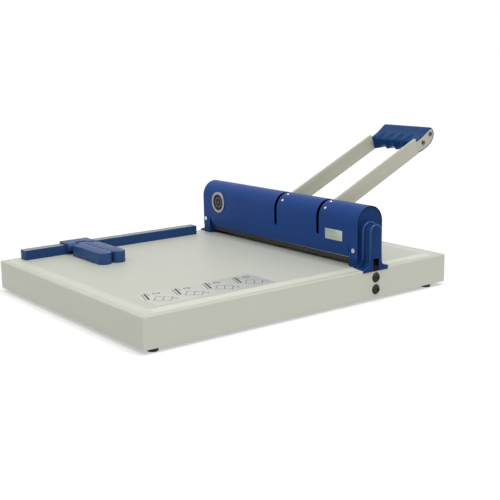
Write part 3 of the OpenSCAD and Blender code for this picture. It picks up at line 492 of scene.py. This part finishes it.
# Grain of a surface: waves to the metre and depth in millimetres
PEBBLE, FINE_PEBBLE, WAVE, GRAIN_STRENGTH = (1500, 0.035), (1500, 0.02), (700, 0.03), 0.35
COAT_ROUGH, COAT_SPECULAR, COAT_VARIATION, ENAMEL_VARIATION = 0.48, 0.4, 0.01, 0.05
COAT_FADE_MM, ENAMEL_FADE_MM = 0.6, 0.2


def paint_grain(finish, rough, grain):
    """Gloss that varies a little from place to place, and a pebbled or wavy surface."""
    finish.gloss(finish.noise(*GLOSS_PATCHES), rough - GLOSS_SPREAD, rough + GLOSS_SPREAD)
    per_metre, depth_mm = grain
    finish.bump(finish.noise(per_metre), GRAIN_STRENGTH, depth_mm)


def painted(name, colour, rough, grain, variation, specular=0.5):
    """Paint on metal: a nearly even colour over a fine grain."""
    finish = Finish(name, rough, specular=specular)
    finish.colour(finish.varied(finish.noise(*CLOUD), colour, variation))
    paint_grain(finish, rough, grain)
    return finish.material


def cream_with_boxes(name, *boxes):
    """Cream powder coat that changes to another colour inside each given box: its colour, low and high
    corner."""
    finish = Finish(name, COAT_ROUGH, specular=COAT_SPECULAR)
    cloud = finish.noise(*CLOUD)
    coat = finish.varied(cloud, CREAM, COAT_VARIATION)
    for colour, low, high in boxes:
        inside = finish.inside_box(low, high, COAT_FADE_MM)
        coat = finish.over(inside, coat, finish.varied(cloud, colour, COAT_VARIATION))
    finish.colour(coat)
    paint_grain(finish, COAT_ROUGH, PEBBLE)
    return finish.material


def shaded_enamel(name, colour, rough, specular, boxes, lit_edge=None):
    """Blue enamel with painted shade, nearly black, inside the given boxes: pockets, slits, slots and cut
    edges. In the box given as the last argument, if any, a painted highlight turns it pale grey, more and
    more towards +X."""
    finish = Finish(name, rough, specular=specular)
    dark = 0.0
    for low, high, mirrored in boxes:
        dark = finish.math("MAXIMUM", dark, finish.inside_box(low, high, ENAMEL_FADE_MM, mirrored))
    enamel = finish.varied(finish.noise(*CLOUD), colour, ENAMEL_VARIATION)
    # A painted highlight, pale grey and growing towards +X, in the box given as the last argument
    if lit_edge:
        edge_light = finish.ranged(finish.place_mm()[0], lit_edge[0][0], lit_edge[1][0], 0.0, 1.0)
        edge_light = finish.math("MULTIPLY", edge_light, finish.inside_box(*lit_edge, ENAMEL_FADE_MM))
        enamel = finish.over(edge_light, enamel, LIP_HIGHLIGHT_GREY)
    finish.colour(finish.over(dark, enamel, POCKET_SHADE_BLUE))
    paint_grain(finish, rough, WAVE)
    return finish.material


def lacquer(material, weight, rough):
    """A thin clear coat, which gives rounded edges a narrow light."""
    shader = material.node_tree.nodes["Principled BSDF"]
    shader.inputs["Coat Weight"].default_value = weight
    shader.inputs["Coat Roughness"].default_value = rough


print("paint helpers ready")

# %% [markdown]
# ## Where the paint changes
#
# A pocket, a slot or the flat of the table is a box in millimetres, placed from the pieces in the frame
# where they have an outer edge to measure from. The left bracket is the right one turned half round about
# the middle of the press, so its pocket is the right one's box turned in the same way. A box that only has
# to clear a piece goes a little past it, and one that has to leave the outer face alone stays a thin skin
# inside it.

# %% Where the paint changes
# How far a box goes past a piece, stays inside its outer face, or takes in a wall
PAST, SKIN, PLAY = 1.0, 0.15, 0.1
POCKET_HALF, POCKET_TOP, POCKET_BACK, POCKET_LIP, BOLT_HEAD_R = 5.5, 62.5, 6.0, 0.3, 4.25
SLIT_X, BEND_Z, SLIT_DOWN, SLIT_UP = (171.5, 173.4), 74.0, 20.0, 6.2
SLOT_HALF, SLOT_STRAIGHT_Z = 2.85, 89.2
# The lip's lower edge, the band of painted highlight under and over it, how far in it goes and where in X it
# starts
LIP_Z, LIP_UNDER, LIP_BAND, LIP_IN, LIP_HIGHLIGHT_FROM_X = 60.5, 2.0, 0.7, 5.0, -40.0
BORDER_MM, RIM_MM = 16.0, 0.3
plate_low, plate_high = box_mm("table_plate")
bolt_low, bolt_high = box_mm("bracket_bolts")
bracket_low, bracket_high = box_mm("right_bracket")
cover_low, cover_high = box_mm("housing_cover")
press_y = (cover_low[1] + cover_high[1]) / 2

post_y, bolt_x = bolt_low[1] + BOLT_HEAD_R, bolt_high[0] - BOLT_HEAD_R
pocket_low = np.array([bolt_x - POCKET_BACK, post_y - POCKET_HALF - PLAY, bracket_low[2] - PAST])
pocket_high = np.array([bracket_high[0] - POCKET_LIP, post_y + POCKET_HALF + PLAY, POCKET_TOP + PLAY])
half_turn, about_press = np.array([-1, -1, 1]), np.array([0, 2 * press_y, 0])
turned_low, turned_high = pocket_high * half_turn + about_press, pocket_low * half_turn + about_press
turned_low[2], turned_high[2] = pocket_low[2], pocket_high[2]
# Painted shade: inside these boxes the brackets' pockets, and the case behind them, are painted nearly black
pockets = [(pocket_low, pocket_high, False), (turned_low, turned_high, False)]

# Painted shade, nearly black, in the slits by the tabs, on the cover's cut ends and on the slot walls
around_low, around_high = cover_low - PAST, cover_high + PAST
slit_shade_low = (SLIT_X[0], cover_low[1] + SKIN, BEND_Z - SLIT_DOWN)
slit_shade_high = (SLIT_X[1], cover_high[1] - SKIN, BEND_Z + SLIT_UP)
cut_end_shade_low = (cover_high[0] - SKIN, around_low[1], 0)
slot_xs = [sum(corner[0] for corner in box_mm(arm)) / 2 for arm in ("left_arm", "right_arm")]
slot_wall_shade = [
    ((x - SLOT_HALF, around_low[1], SLOT_STRAIGHT_Z), (x + SLOT_HALF, *around_high[1:]), False)
    for x in slot_xs
]
shade_in_cover = [(slit_shade_low, slit_shade_high, True), (cut_end_shade_low, around_high, True), *slot_wall_shade]
# Painted highlight: a pale grey line along the lip's lower edge, stronger towards +X
lip_highlight_low = (LIP_HIGHLIGHT_FROM_X, around_low[1], LIP_Z - LIP_UNDER)
lip_highlight_high = (SLIT_X[0], cover_low[1] + LIP_IN, LIP_Z + LIP_BAND)

flat_low = [*(plate_low[:2] + BORDER_MM), 0]
flat_high = [*(plate_high[:2] - BORDER_MM), plate_high[2] + PAST]
# The border's long sides, where a painted highlight makes the cream paler
right_highlight_low, right_highlight_high = [flat_high[0], flat_low[1], 0], [plate_high[0], *flat_high[1:]]
left_highlight_low, left_highlight_high = [plate_low[0], flat_low[1], 0], [flat_low[0], *flat_high[1:]]
rim_low, rim_high = [*case_low[:2], case_high[2] - RIM_MM], case_high + PAST
print("boxes:", len(pockets), "pockets and", len(shade_in_cover), "dark places in the cover")

# %% [markdown]
# ## Paints
#
# Each painted piece now gets its coat: a cream or blue of its own, how rough it is, its grain, and the boxes
# where it changes. The rounded edges of the castings are a glossier blue, painted lighter as a painted
# highlight, and the case's folded edges a cream painted paler, with a finer pebble, as a painted highlight
# that draws a light line along them.

# %% Paints
cream_paint = painted("cream_powder_coat", CREAM, 0.46, PEBBLE, variation=0.02)
arm_paint = painted("arm_powder_coat", ARM_CREAM, 0.46, PEBBLE, variation=0.02)
blue_paint = painted("blue_enamel", BLUE, 0.36, WAVE, ENAMEL_VARIATION, specular=0.14)
rail_coat = painted("rail_enamel", RAIL_BLUE, 0.42, WAVE, ENAMEL_VARIATION, specular=0.08)
# Painted shade in the cover's slits, cut ends and slots, and a painted highlight along its lower edge
cover_coat = shaded_enamel("cover_enamel", BLUE, 0.42, 0.14, shade_in_cover, (lip_highlight_low, lip_highlight_high))
# Painted shade, nearly black, inside the brackets' pockets
bracket_coat = shaded_enamel("bracket_enamel", CAST_BLUE, 0.36, 0.09, pockets)
# Painted highlight: the brackets' rounded edges are a lighter, glossier blue
edge_highlight_coat = painted("edge_highlight_enamel", shade(CAST_BLUE, 1.3), 0.22, WAVE, ENAMEL_VARIATION)
# A painted highlight on the border's long sides, and a greyer cream on the flat
table_coat = cream_with_boxes(
    "table_powder_coat", (SIDE_HIGHLIGHT_CREAM, right_highlight_low, right_highlight_high), (SIDE_HIGHLIGHT_CREAM, left_highlight_low, left_highlight_high),
    (TABLE_CREAM, flat_low, flat_high))
# Painted shade on the case, nearly black, behind the brackets' pockets
case_coat = cream_with_boxes(
    "case_powder_coat", (RIM_CREAM, rim_low, rim_high),
    *((POCKET_SHADE_BLUE, low + [0, 0, PAST], high) for low, high, _ in pockets))
# Painted highlight: the case's folded edges are a paler cream
case_edge_highlight = painted("case_edge_highlight", EDGE_HIGHLIGHT_CREAM, 0.4, FINE_PEBBLE, variation=0.02)
print("paints:", len(bpy.data.materials) - 1)

# %% [markdown]
# ## Metal, plastic and rubber
#
# Ground steel shows fine lines along the way it was ground, so its noise is stretched along X. Turned and
# plated metal has noise of one size in every direction. Mouldings have a fine even grain from the mould.
# Black screws are oxidised steel and the feet are dull rubber.

# %% Metal, plastic and rubber
# Noise as waves to the metre and detail, and how far it takes the colour and the gloss
GRIND, GRIND_DARK, GRIND_LIGHT, GRIND_DULL, GRIND_SHINE = (6, 4), 0.82, 1.12, 0.1, 0.08
MOULD_CLOUD, MOULD_PATCHES, MOULD_SPREAD = (25, 3), (140, 2), 0.06


def ground_metal(name, colour, rough, lines=(3, 400, 400), metallic=1.0):
    """Machined metal: noise in the colour, the gloss and the bump. It runs in lines along X, unless another
    stretch is given."""
    finish = Finish(name, rough, metallic)
    grain = finish.noise(*GRIND, finish.stretched(lines))
    finish.colour(finish.two_colours(grain, shade(colour, GRIND_DARK), shade(colour, GRIND_LIGHT)))
    finish.gloss(grain, rough - GRIND_SHINE, rough + GRIND_DULL)
    finish.bump(grain, strength=0.25, depth_mm=0.03)
    return finish.material


def moulded(name, colour, rough, grain_per_metre=1800, grain_mm=0.02, variation=0.05, specular=0.5):
    """Plastic or rubber: an even colour with a fine spark-eroded grain."""
    finish = Finish(name, rough, specular=specular)
    finish.colour(finish.varied(finish.noise(*MOULD_CLOUD), colour, variation))
    finish.gloss(finish.noise(*MOULD_PATCHES), rough - MOULD_SPREAD, rough + MOULD_SPREAD)
    finish.bump(finish.noise(grain_per_metre), strength=0.3, depth_mm=grain_mm)
    return finish.material


PLASTIC_BLUE = (0.007, 0.054, 0.185)
STOP_BLUE = (0.016, 0.066, 0.21)
blue_plastic = moulded("blue_moulding", PLASTIC_BLUE, 0.4, specular=0.05)
lacquer(blue_plastic, 0.16, 0.2)
dark_steel = ground_metal("dark_oiled_steel", (0.042, 0.040, 0.037), 0.5, metallic=0.3)
ground_steel = ground_metal("ground_steel", (0.56, 0.56, 0.55), 0.3)
spring_steel = ground_metal("spring_wire", (0.42, 0.42, 0.43), 0.32, (120, 120, 120))
zinc_steel = ground_metal("zinc_plate", (0.70, 0.72, 0.71), 0.28, (150, 150, 150))
black_steel = moulded("black_oxide", (0.020, 0.019, 0.014), 0.5, 900, 0.02, variation=0.2, specular=0.3)
bronze = ground_metal("sintered_bronze", (0.42, 0.24, 0.09), 0.42, (200, 200, 200))
nylon = moulded("natural_nylon", (0.72, 0.7, 0.62), 0.5)
silver = ground_metal("satin_silver", (0.54, 0.60, 0.55), 0.34, (4, 300, 300))
foot_rubber = moulded("foot_rubber", (0.022, 0.022, 0.022), 0.7, 700, 0.06, variation=0.2)
ring_silver = ground_metal("ring_silver", (0.34, 0.345, 0.385), 0.42, (200, 200, 200))
dull_zinc = ground_metal("dull_zinc", (0.10, 0.10, 0.10), 0.34, (150, 150, 150))
# Painted shade: the bolts in the brackets' pockets are nearly black
pocket_shade_black = moulded("pocket_shade_black", (0.002, 0.003, 0.007), 0.7, 900, 0.02, variation=0.2, specular=0.05)
stop_plastic = moulded("stop_moulding", STOP_BLUE, 0.46, specular=0.35)
print("finishes so far:", len(bpy.data.materials) - 1)

# %% [markdown]
# ## Badge, label film and scale
#
# The round badge is lacquered in plain rings: the distance from its axis goes through a stepped colour
# ramp. The label is a thin film, pale like the table and greyer towards its rear end. The scale is a
# printed strip with a line every millimetre, longer at five and ten; the Ping-Pong operation gives the
# distance to the nearest multiple, and a line is where that is small.

# %% Badge, label film and scale
badge_low, badge_high = box_mm("badge_face")
scale_low, scale_high = box_mm("fence_scale")
# Where each ring of the badge starts, in millimetres from its middle, and its grey
RING_STEPS = ((0.0, 0.12), (2.6, 0.014), (6.8, 0.15), (8.8, 0.012))
RAMP_MARGIN, RING_BLUENESS = 1.25, 1.1
FILM_CLOUD, FILM_VARIATION, FILM_PATCHES, FILM_SHINE, FILM_DULL = (30, 3), 0.03, (80, 2), 0.04, 0.06
LABEL_FRONT, LABEL_REAR = (0.62, 0.63, 0.565), (0.49, 0.505, 0.465)
# Distance from one scale line to the next, its length and half its width, in millimetres
GRADUATIONS = ((1, 3.0, 0.11), (5, 4.5, 0.13), (10, 7.0, 0.16))
STRIP_DARK, STRIP_LIGHT, SCALE_INK = (0.25, 0.245, 0.245), (0.28, 0.272, 0.268), (0.02, 0.02, 0.02)


def ringed_lacquer(name, centre):
    """Rings of grey and black by the distance from an axis along Y: the root of dx squared plus dz
    squared."""
    finish = Finish(name, rough=0.3, specular=0.12)
    x, _, z = finish.place_mm()
    across = [finish.math("SUBTRACT", axis, float(c)) for axis, c in zip((x, z), centre)]
    away = finish.math("SQRT", finish.math("ADD", *(finish.math("MULTIPLY", v, v) for v in across)))
    reach = RING_STEPS[-1][0] * RAMP_MARGIN
    ramp = finish.node("ValToRGB")
    ramp.color_ramp.interpolation = "CONSTANT"
    elements = ramp.color_ramp.elements
    elements.remove(elements[1])
    for position, grey in RING_STEPS:
        element = elements[0] if position == 0 else elements.new(position / reach)
        element.color = (grey, grey, grey * RING_BLUENESS, 1)
    finish.link(finish.math("DIVIDE", away, reach), ramp.inputs["Fac"])
    finish.colour(ramp.outputs["Color"])
    finish.bump(finish.noise(per_metre=400), strength=0.2, depth_mm=0.01)
    return finish.material


def film(name, front, rear, reach_y, rough):
    """A thin film, faintly cloudy and rippled, whose colour goes from front to rear along its reach in Y."""
    finish = Finish(name, rough)
    cloud = finish.noise(*FILM_CLOUD)
    ends = [finish.varied(cloud, colour, FILM_VARIATION) for colour in (front, rear)]
    along = finish.ranged(finish.place_mm()[1], *map(float, reach_y), 0.0, 1.0)
    finish.colour(finish.over(along, *ends))
    finish.gloss(finish.noise(*FILM_PATCHES), rough - FILM_SHINE, rough + FILM_DULL)
    finish.bump(finish.noise(per_metre=90), strength=0.15, depth_mm=0.02)
    return finish.material


def graduated(name, inner_x, first_y):
    """A grey strip with lines across it from its inner edge, at every period of GRADUATIONS from first_y."""
    finish = Finish(name, rough=0.4)
    x, y, _ = finish.place_mm()
    from_edge = finish.math("SUBTRACT", float(inner_x), x)
    along = finish.math("SUBTRACT", y, float(first_y))
    ink = None
    for period, length, half_line in GRADUATIONS:
        near = finish.math("LESS_THAN", finish.math("PINGPONG", along, period / 2), half_line)
        line = finish.math("MULTIPLY", near, finish.math("LESS_THAN", from_edge, length))
        ink = line if ink is None else finish.math("MAXIMUM", ink, line)
    strip = finish.two_colours(finish.noise(per_metre=40, detail=3), STRIP_DARK, STRIP_LIGHT)
    finish.colour(finish.over(ink, strip, SCALE_INK))
    finish.bump(finish.noise(per_metre=500), strength=0.2, depth_mm=0.02)
    return finish.material


badge_black = ringed_lacquer("badge_rings", ((badge_low + badge_high) / 2)[[0, 2]])
label_low, label_high = box_mm("instruction_label")
label_film = film("label_film", LABEL_FRONT, LABEL_REAR, (label_low[1], label_high[1]), 0.34)
scale_film = graduated("scale_print", scale_high[0], scale_low[1])
print("badge, film and scale finishes made")

# %% [markdown]
# ## Finishes on the frame's own nodes
#
# Small turned and milled pieces keep the frame's mesh, which is exact. Each gets the finish of its material
# slot. The pieces whose colour differs from the rest of their slot get a finish of their own, such as the
# table, the case, the arms, the cover, the brackets and the stop. Some of these hold painted shade: the
# bolts in the brackets' pockets are nearly black, and the matrix bar in the gap under the beam takes the
# beam's dark steel.

# %% Finishes on the frame's own nodes
slot_finish = {
    "cream_paint": cream_paint, "blue_paint": blue_paint, "blue_plastic": blue_plastic,
    "dark_steel": dark_steel, "ground_steel": ground_steel, "spring_steel": spring_steel,
    "zinc_steel": zinc_steel, "black_steel": black_steel, "bronze": bronze, "nylon": nylon,
    "badge_silver": silver, "badge_black": badge_black, "foot_rubber": foot_rubber,
    "label_film": label_film, "scale_film": scale_film,
}
own_finish = {
    "table_plate": table_coat, "base_case": case_coat, "left_arm": arm_paint, "right_arm": arm_paint,
    "left_bracket": bracket_coat, "right_bracket": bracket_coat, "housing_cover": cover_coat,
    "fence_rail": rail_coat, "badge_ring": ring_silver, "bracket_bolts": pocket_shade_black,
    "grip_screws": dull_zinc, "stop_arm": stop_plastic, "stop_carriage": stop_plastic,
    # Painted shade: the matrix bar, in the gap under the beam, takes the beam's dark steel
    "matrix_bar": dark_steel,
}
slot_of = {part["node"]: part["material_slot"] for part in frame["record"]["subparts"]}
finish_of = {node: own_finish.get(node, slot_finish[slot]) for node, slot in slot_of.items()}


def dress(node, material):
    """Makes a material the only one on a frame node."""
    mesh = frame["nodes"][node].data
    mesh.materials.clear()
    mesh.materials.append(material)


for node_name, material in finish_of.items():
    dress(node_name, material)
print("dressed", len(finish_of), "nodes")

# %% [markdown]
# ## Softened castings, sheets and mouldings
#
# The brackets are painted castings with generous edges, the stop is a moulding, and the case, the cover
# and the arms are sheet or bar with a thin rounded edge under the paint. A Bevel at each piece's own
# radius catches the light along those edges. A bracket's posts flare into its foot, where a wide bevel
# would run into itself, so each edge gets a weight from a rule: full on the posts, little at the foot,
# none in the pocket. The rounded edges of the brackets and of the case have a finish of their own, painted
# lighter as a painted highlight.
# Shallow bends in the table, the cover and the case are kept as creases, because smoothing over them would
# tint the large flats beside them.

# %% Softened castings, sheets and mouldings
EDGE_RADIUS_MM = {
    "left_bracket": 1.8, "right_bracket": 1.8, "stop_arm": 0.9, "stop_carriage": 0.6, "fence_rail": 0.5,
    "base_case": 0.7, "table_plate": 0.4, "housing_cover": 0.35, "left_arm": 0.7, "right_arm": 0.7,
    "blank_plate": 0.25, "press_beam": 0.2, "badge_ring": 0.5,
}
FLARE_TOP, FOOT_WEIGHT, POCKET_MARGIN, OUTER_MARGIN = 61.0, 0.2, 0.5, 0.1


def bracket_edge(middle):
    """Full weight on the posts' outer edges above the flares, a little at the foot and none in the pocket."""
    side = math.copysign(1, middle.x)
    from_post = side * (middle.y - press_y) - (post_y - press_y)
    in_pocket = abs(from_post) < POCKET_HALF + POCKET_MARGIN and middle.z < POCKET_TOP + POCKET_MARGIN
    if abs(middle.x) < cover_high[0] or in_pocket:
        return 0.0
    if middle.z > FLARE_TOP:
        return 1.0
    return FOOT_WEIGHT if abs(middle.x) > bracket_high[0] - OUTER_MARGIN else 0.0


EDGE_RULE = {"left_bracket": bracket_edge, "right_bracket": bracket_edge}
# Rounded edges with a painted highlight: a lighter finish of their own
EDGE_HIGHLIGHT_FINISH = {"left_bracket": edge_highlight_coat, "right_bracket": edge_highlight_coat, "base_case": case_edge_highlight}
CREASE = {"table_plate": 2, "housing_cover": 15, "base_case": 15}
softened = {
    name: soften(name, finish_of[name], radius, CREASE.get(name, NO_CREASE),
                 EDGE_RULE.get(name), EDGE_HIGHLIGHT_FINISH.get(name))
    for name, radius in EDGE_RADIUS_MM.items()
}
print("softened", len(softened), "pieces")

# %% [markdown]
# ## Grip outline
#
# The grip is a blue moulding between the two arms, with a convex underside, a round tip, a hollowed top
# and four finger hollows along its inner face. Its outline is four curves in the lever's own plane,
# rounded by averaging along the outline, and more so between the ends, where the hand holds it. The flat
# tang of an arm has an outline of the same kind, a little inside the grip's. The points of both are shares
# of the grip's length and height, so that the curves keep their form at another size.

# %% Grip outline
ARM_LENGTH, GRIP_LENGTH, GRIP_HEIGHT, LEVER_ANGLE = 203.2, 46.5, 24.4, math.radians(24.7)
GRIP_CURVES = (
    ((0.011, -0.508), (0.45, -0.646), (0.95, -0.571), (1.0, 0.08)),
    ((1.0, 0.08), (1.015, 0.24), (0.93, 0.55), (0.865, 0.533)),
    ((0.865, 0.533), (0.70, 0.49), (0.42, 0.30), (0.065, 0.355)),
    ((0.065, 0.355), (0.047, 0.067), (0.029, -0.22), (0.011, -0.508)),
)
TANG_CURVES = (
    ((-0.02, -0.44), (0.43, -0.575), (0.91, -0.52), (0.955, 0.075)),
    ((0.955, 0.075), (0.965, 0.2), (0.945, 0.36), (0.89, 0.4)),
    ((0.89, 0.4), (0.7, 0.38), (0.42, 0.2), (-0.02, 0.26)),
    ((-0.02, 0.26), (-0.02, 0.03), (-0.02, -0.21), (-0.02, -0.44)),
)
EDGE_ROUNDING, HOLD_ROUNDING, TANG_ROUNDING, HOLD_REACH = 1.4, 5.0, 0.2, (214.0, 236.0)
CURVE_POINTS, OUTLINE_POINTS = 80, 200


def cubic(control):
    """Points of a cubic curve: (1-u)^3 a + 3u(1-u)^2 b + 3u^2(1-u) c + u^3 d, without its last point."""
    u = np.linspace(0, 1, CURVE_POINTS, endpoint=False)[:, None]
    a, b, c, d = np.array(control, float)
    return (1 - u) ** 3 * a + 3 * u * (1 - u) ** 2 * b + 3 * u ** 2 * (1 - u) * c + u ** 3 * d


def evenly(outline, count):
    """A closed outline again with its points an equal length apart, and that length."""
    closed = np.vstack([outline, outline[:1]])
    length = np.concatenate([[0], np.cumsum(np.linalg.norm(np.diff(closed, axis=0), axis=1))])
    at = np.linspace(0, length[-1], count, endpoint=False)
    return np.stack([np.interp(at, length, closed[:, k]) for k in range(2)], axis=1), length[-1] / count


def averaged(outline, step, width):
    """Each point becomes the mean of its neighbours round the outline, weighed by a bell: e to the power of
    minus half the square of the distance over the width. A product of Fourier transforms takes all the
    means at once."""
    count = len(outline)
    away = np.minimum(np.arange(count), count - np.arange(count)) * step
    bell = np.exp(-0.5 * (away / width) ** 2)
    turned = np.fft.fft(outline, axis=0) * np.fft.fft(bell / bell.sum())[:, None]
    return np.real(np.fft.ifft(turned, axis=0))


def lever_outline(curves, rounding):
    """A closed outline in the lever's plane, in millimetres along and across the arm."""
    raw = np.concatenate([cubic(c) for c in curves]) * [GRIP_LENGTH, GRIP_HEIGHT] + [ARM_LENGTH, 0]
    even, step = evenly(raw, OUTLINE_POINTS)
    return averaged(even, step, rounding)


def inward(outline):
    """Unit vectors square to a closed outline, to its inside."""
    along = np.roll(outline, -1, axis=0) - np.roll(outline, 1, axis=0)
    along /= np.linalg.norm(along, axis=1, keepdims=True)
    return np.stack([-along[:, 1], along[:, 0]], axis=1)


grip_outline = lever_outline(GRIP_CURVES, EDGE_ROUNDING)
round_outline = lever_outline(GRIP_CURVES, HOLD_ROUNDING)
inner_side = np.interp(grip_outline[:, :1], HOLD_REACH, (1, 0))
hold_outline = grip_outline + inner_side * (round_outline - grip_outline)
tang_outline = lever_outline(TANG_CURVES, TANG_ROUNDING)
print("grip outline:", np.round(grip_outline.min(0), 1), "to", np.round(grip_outline.max(0), 1), "mm")

# %% [markdown]
# ## Grip surface
#
# The outline is carried along the grip, and each point moves inwards where a finger goes. The hollows are
# deepest at the lower edge of the inner face, and run out smoothly over the top and underneath, where a cut
# with four cylinders would leave hard rims. At either end a pocket takes the tang of an arm, so a blue rim
# shows round it.

# %% Grip surface
FINGERS, FINGER_PITCH, DEPTH_TOP, DEPTH_UNDER, DEPTH_HEIGHTS = 4, 20.3, 3.2, 4.6, (-11.0, 8.0)
FADE_TOP, FADE_UNDER, FADE_START, HOLD_ENDS = 16.0, 10.0, 1.5, (2.5, 10.0)
TANG_MM, TANG_FIT, TANG_INSET = 3.0, 0.15, 0.3
END_ROUNDING, FIRST_ROW, ROWS = 0.8, 1.4, 150
END_ROWS = np.array([0.0, 0.06, 0.22, 0.45, END_ROUNDING])
shaft_low, shaft_high = box_mm("drive_shaft")
shaft_y, shaft_z = ((shaft_low + shaft_high) / 2)[1:]
grip_low, grip_high = box_mm("hand_grip")


def finger_hollow(x, depth, fade):
    """Depth of the hollow at a place along the grip: the full depth times the difference between the fade and
    the square of the distance from a finger's middle, in half pitches, and never below zero."""
    finger = np.clip(np.round(x / FINGER_PITCH + (FINGERS - 1) / 2), 0, FINGERS - 1)
    from_middle = (x - (finger - (FINGERS - 1) / 2) * FINGER_PITCH) / (FINGER_PITCH / 2)
    return depth[None, :] * np.maximum(0, fade[None, :] - from_middle[:, None] ** 2)


def inner_face(t):
    """Place of the grip's sloping inner face along the arm, at a height across it: on the straight line
    between the ends of the outline's last curve."""
    ends = (GRIP_CURVES[-1][0], GRIP_CURVES[-1][-1])
    top, low = (np.array(end) * [GRIP_LENGTH, GRIP_HEIGHT] + [ARM_LENGTH, 0] for end in ends)
    return low[0] + (t - low[1]) * (top[0] - low[0]) / (top[1] - low[1])


def grip_rows():
    """Places of the outlines along X: close together at the rounded ends, and evenly spaced between them."""
    middle = np.linspace(grip_low[0] + FIRST_ROW, grip_high[0] - FIRST_ROW, ROWS)
    return np.concatenate([grip_low[0] + END_ROWS, middle, grip_high[0] - END_ROWS[::-1]])


def grip_depth(x, from_end):
    """How far each point of each row moves inwards: by its finger hollow and by the round of the ends. A
    hollow fades past the inner face as one less the square of the distance over its reach. The round is a
    quarter circle: its radius less the root of the radius squared less the distance short of it squared."""
    along, across = grip_outline.T
    reach = np.where(across > 0, FADE_TOP, FADE_UNDER)
    past_face = along - inner_face(across)
    fade = np.clip(1 - (np.maximum(0, past_face - FADE_START) / reach) ** 2, 0, 1)
    short = np.clip(END_ROUNDING - from_end, 0, END_ROUNDING)
    end_round = END_ROUNDING - np.sqrt(END_ROUNDING ** 2 - short ** 2)
    finger_depth = np.interp(across, DEPTH_HEIGHTS, (DEPTH_UNDER, DEPTH_TOP))
    return finger_hollow(x - (x[0] + x[-1]) / 2, finger_depth, fade) + end_round[:, None]


def grip_points():
    """The outline carried along X, each point moved inwards by its depth. At either end the outline steps in
    to the tang's pocket and goes back along X to the pocket's floor. All is then turned by the lever's angle
    about the shaft."""
    x = grip_rows()
    from_end = np.minimum(x - x[0], x[-1] - x)
    held = np.interp(from_end, HOLD_ENDS, (0, 1))[:, None, None]
    moved = grip_depth(x, from_end)[..., None] * inward(hold_outline)
    body = grip_outline + held * (hold_outline - grip_outline) + moved
    pocket = tang_outline - TANG_FIT * inward(tang_outline)
    pocket[:, 0] = np.maximum(pocket[:, 0], inner_face(pocket[:, 1]) + TANG_INSET)
    flat = np.concatenate([pocket[None], pocket[None], body, pocket[None], pocket[None]])
    x = np.concatenate([[x[0] + TANG_MM, x[0]], x, [x[-1], x[-1] - TANG_MM]])
    s, t = flat[..., 0], flat[..., 1]
    y = shaft_y + s * math.cos(LEVER_ANGLE) - t * math.sin(LEVER_ANGLE)
    z = shaft_z + s * math.sin(LEVER_ANGLE) + t * math.cos(LEVER_ANGLE)
    return np.stack([np.broadcast_to(x[:, None], s.shape), y, z], axis=-1) * MM


grip = add_piece("hand_grip_moulding", tube_mesh("hand_grip_moulding", grip_points()),
                 frame["nodes"]["hand_grip"]["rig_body"], blue_plastic, ["hand_grip"])
print("grip:", len(grip.data.vertices), "points; frame box", np.round(grip_high - grip_low, 1), "mm")

# %% [markdown]
# ## Return springs
#
# Two coil springs under the beam's ends push it up again. They shorten as the lever comes down, which a
# rigid piece can't do. A copy of them, with a mesh of its own, takes the frame node's place.

# %% Return springs
spring_node = frame["nodes"]["return_springs"]
springs = add_piece("return_springs_coil", spring_node.data.copy(), spring_node["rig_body"],
                    spring_steel, ["return_springs"])
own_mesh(springs)

# %% [markdown]
# ## Print on the label
#
# The label shows four steps of setting up the press as small line drawings: a bar, a line beside it, a
# knob and a sheet. One drawing is a list of strokes, each a start, an end and a width, and it is repeated
# at four stations. Every stroke is a quad, widened square to its direction, and Solidify gives the ink a
# thickness.

# %% Print on the label
# Where each drawing starts: to the right of the machine's middle and back from the front of the case
STATIONS_MM = np.array([[116.0, 58.5], [119.5, 104.0], [120.0, 152.0], [121.0, 201.0]])
# Start, end and width of each stroke
STROKES_MM = np.array([
    [0, 0, 30, -10.8, 3.0], [1, -5.2, 31, -16, 1.0], [2, 3.5, 14, -0.6, 1.0],
    [22, 5, 37, 21, 0.9], [37, 21, 50, 9, 0.9], [50, 9, 36, -8, 0.9], [36, -8, 22, 5, 0.9],
    [29, 12.5, 43, 1, 0.9], [40, 17, 46, 23, 0.9], [46, 23, 49, 19, 0.9],
])
KNOB_MM, KNOB_RADII, KNOB_LINE, KNOB_SIDES = np.array([8.0, 13.5]), np.array([3.2, 4.6]), 1.6, 18
INK_MM, INK_COLOUR = 0.03, (0.035, 0.035, 0.04)


def knob_strokes():
    """A ring of strokes round an ellipse: the cosine and sine of an angle times its two radii."""
    angle = np.linspace(0, 2 * np.pi, KNOB_SIDES + 1)
    ring = KNOB_MM + np.stack([np.cos(angle), np.sin(angle)], axis=1) * KNOB_RADII
    return np.concatenate([ring[:-1], ring[1:], np.full((KNOB_SIDES, 1), KNOB_LINE)], axis=1)


def stroke_quads():
    """Four corners of each stroke at each station: its ends, moved half its width to either side."""
    strokes = np.concatenate([STROKES_MM, knob_strokes()])
    start, end, width = strokes[:, :2], strokes[:, 2:4], strokes[:, 4:]
    along = (end - start) / np.linalg.norm(end - start, axis=1, keepdims=True)
    side = np.stack([-along[:, 1], along[:, 0]], axis=1) * width / 2
    corners = np.stack([start - side, end - side, end + side, start + side], axis=1)
    placed = corners[None] + STATIONS_MM[:, None, None] + [0, case_low[1]]
    level = np.full((*placed.shape[:-1], 1), label_high[2] + INK_MM)
    return (np.concatenate([placed, level], axis=-1) * MM).reshape(-1, 3)


ink_points = stroke_quads()
ink_mesh = bpy.data.meshes.new("label_print")
ink_mesh.from_pydata(ink_points.tolist(), [], np.arange(len(ink_points)).reshape(-1, 4).tolist())
ink = moulded("printing_ink", INK_COLOUR, 0.5, 600, 0.005, variation=0.1)
label_body = frame["nodes"]["instruction_label"]["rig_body"]
label_print = add_piece("label_print", ink_mesh, label_body, ink)
ink_body = label_print.modifiers.new("thickness", "SOLIDIFY")
ink_body.thickness, ink_body.offset = INK_MM * MM, -1
print("print:", len(ink_mesh.polygons), "strokes")
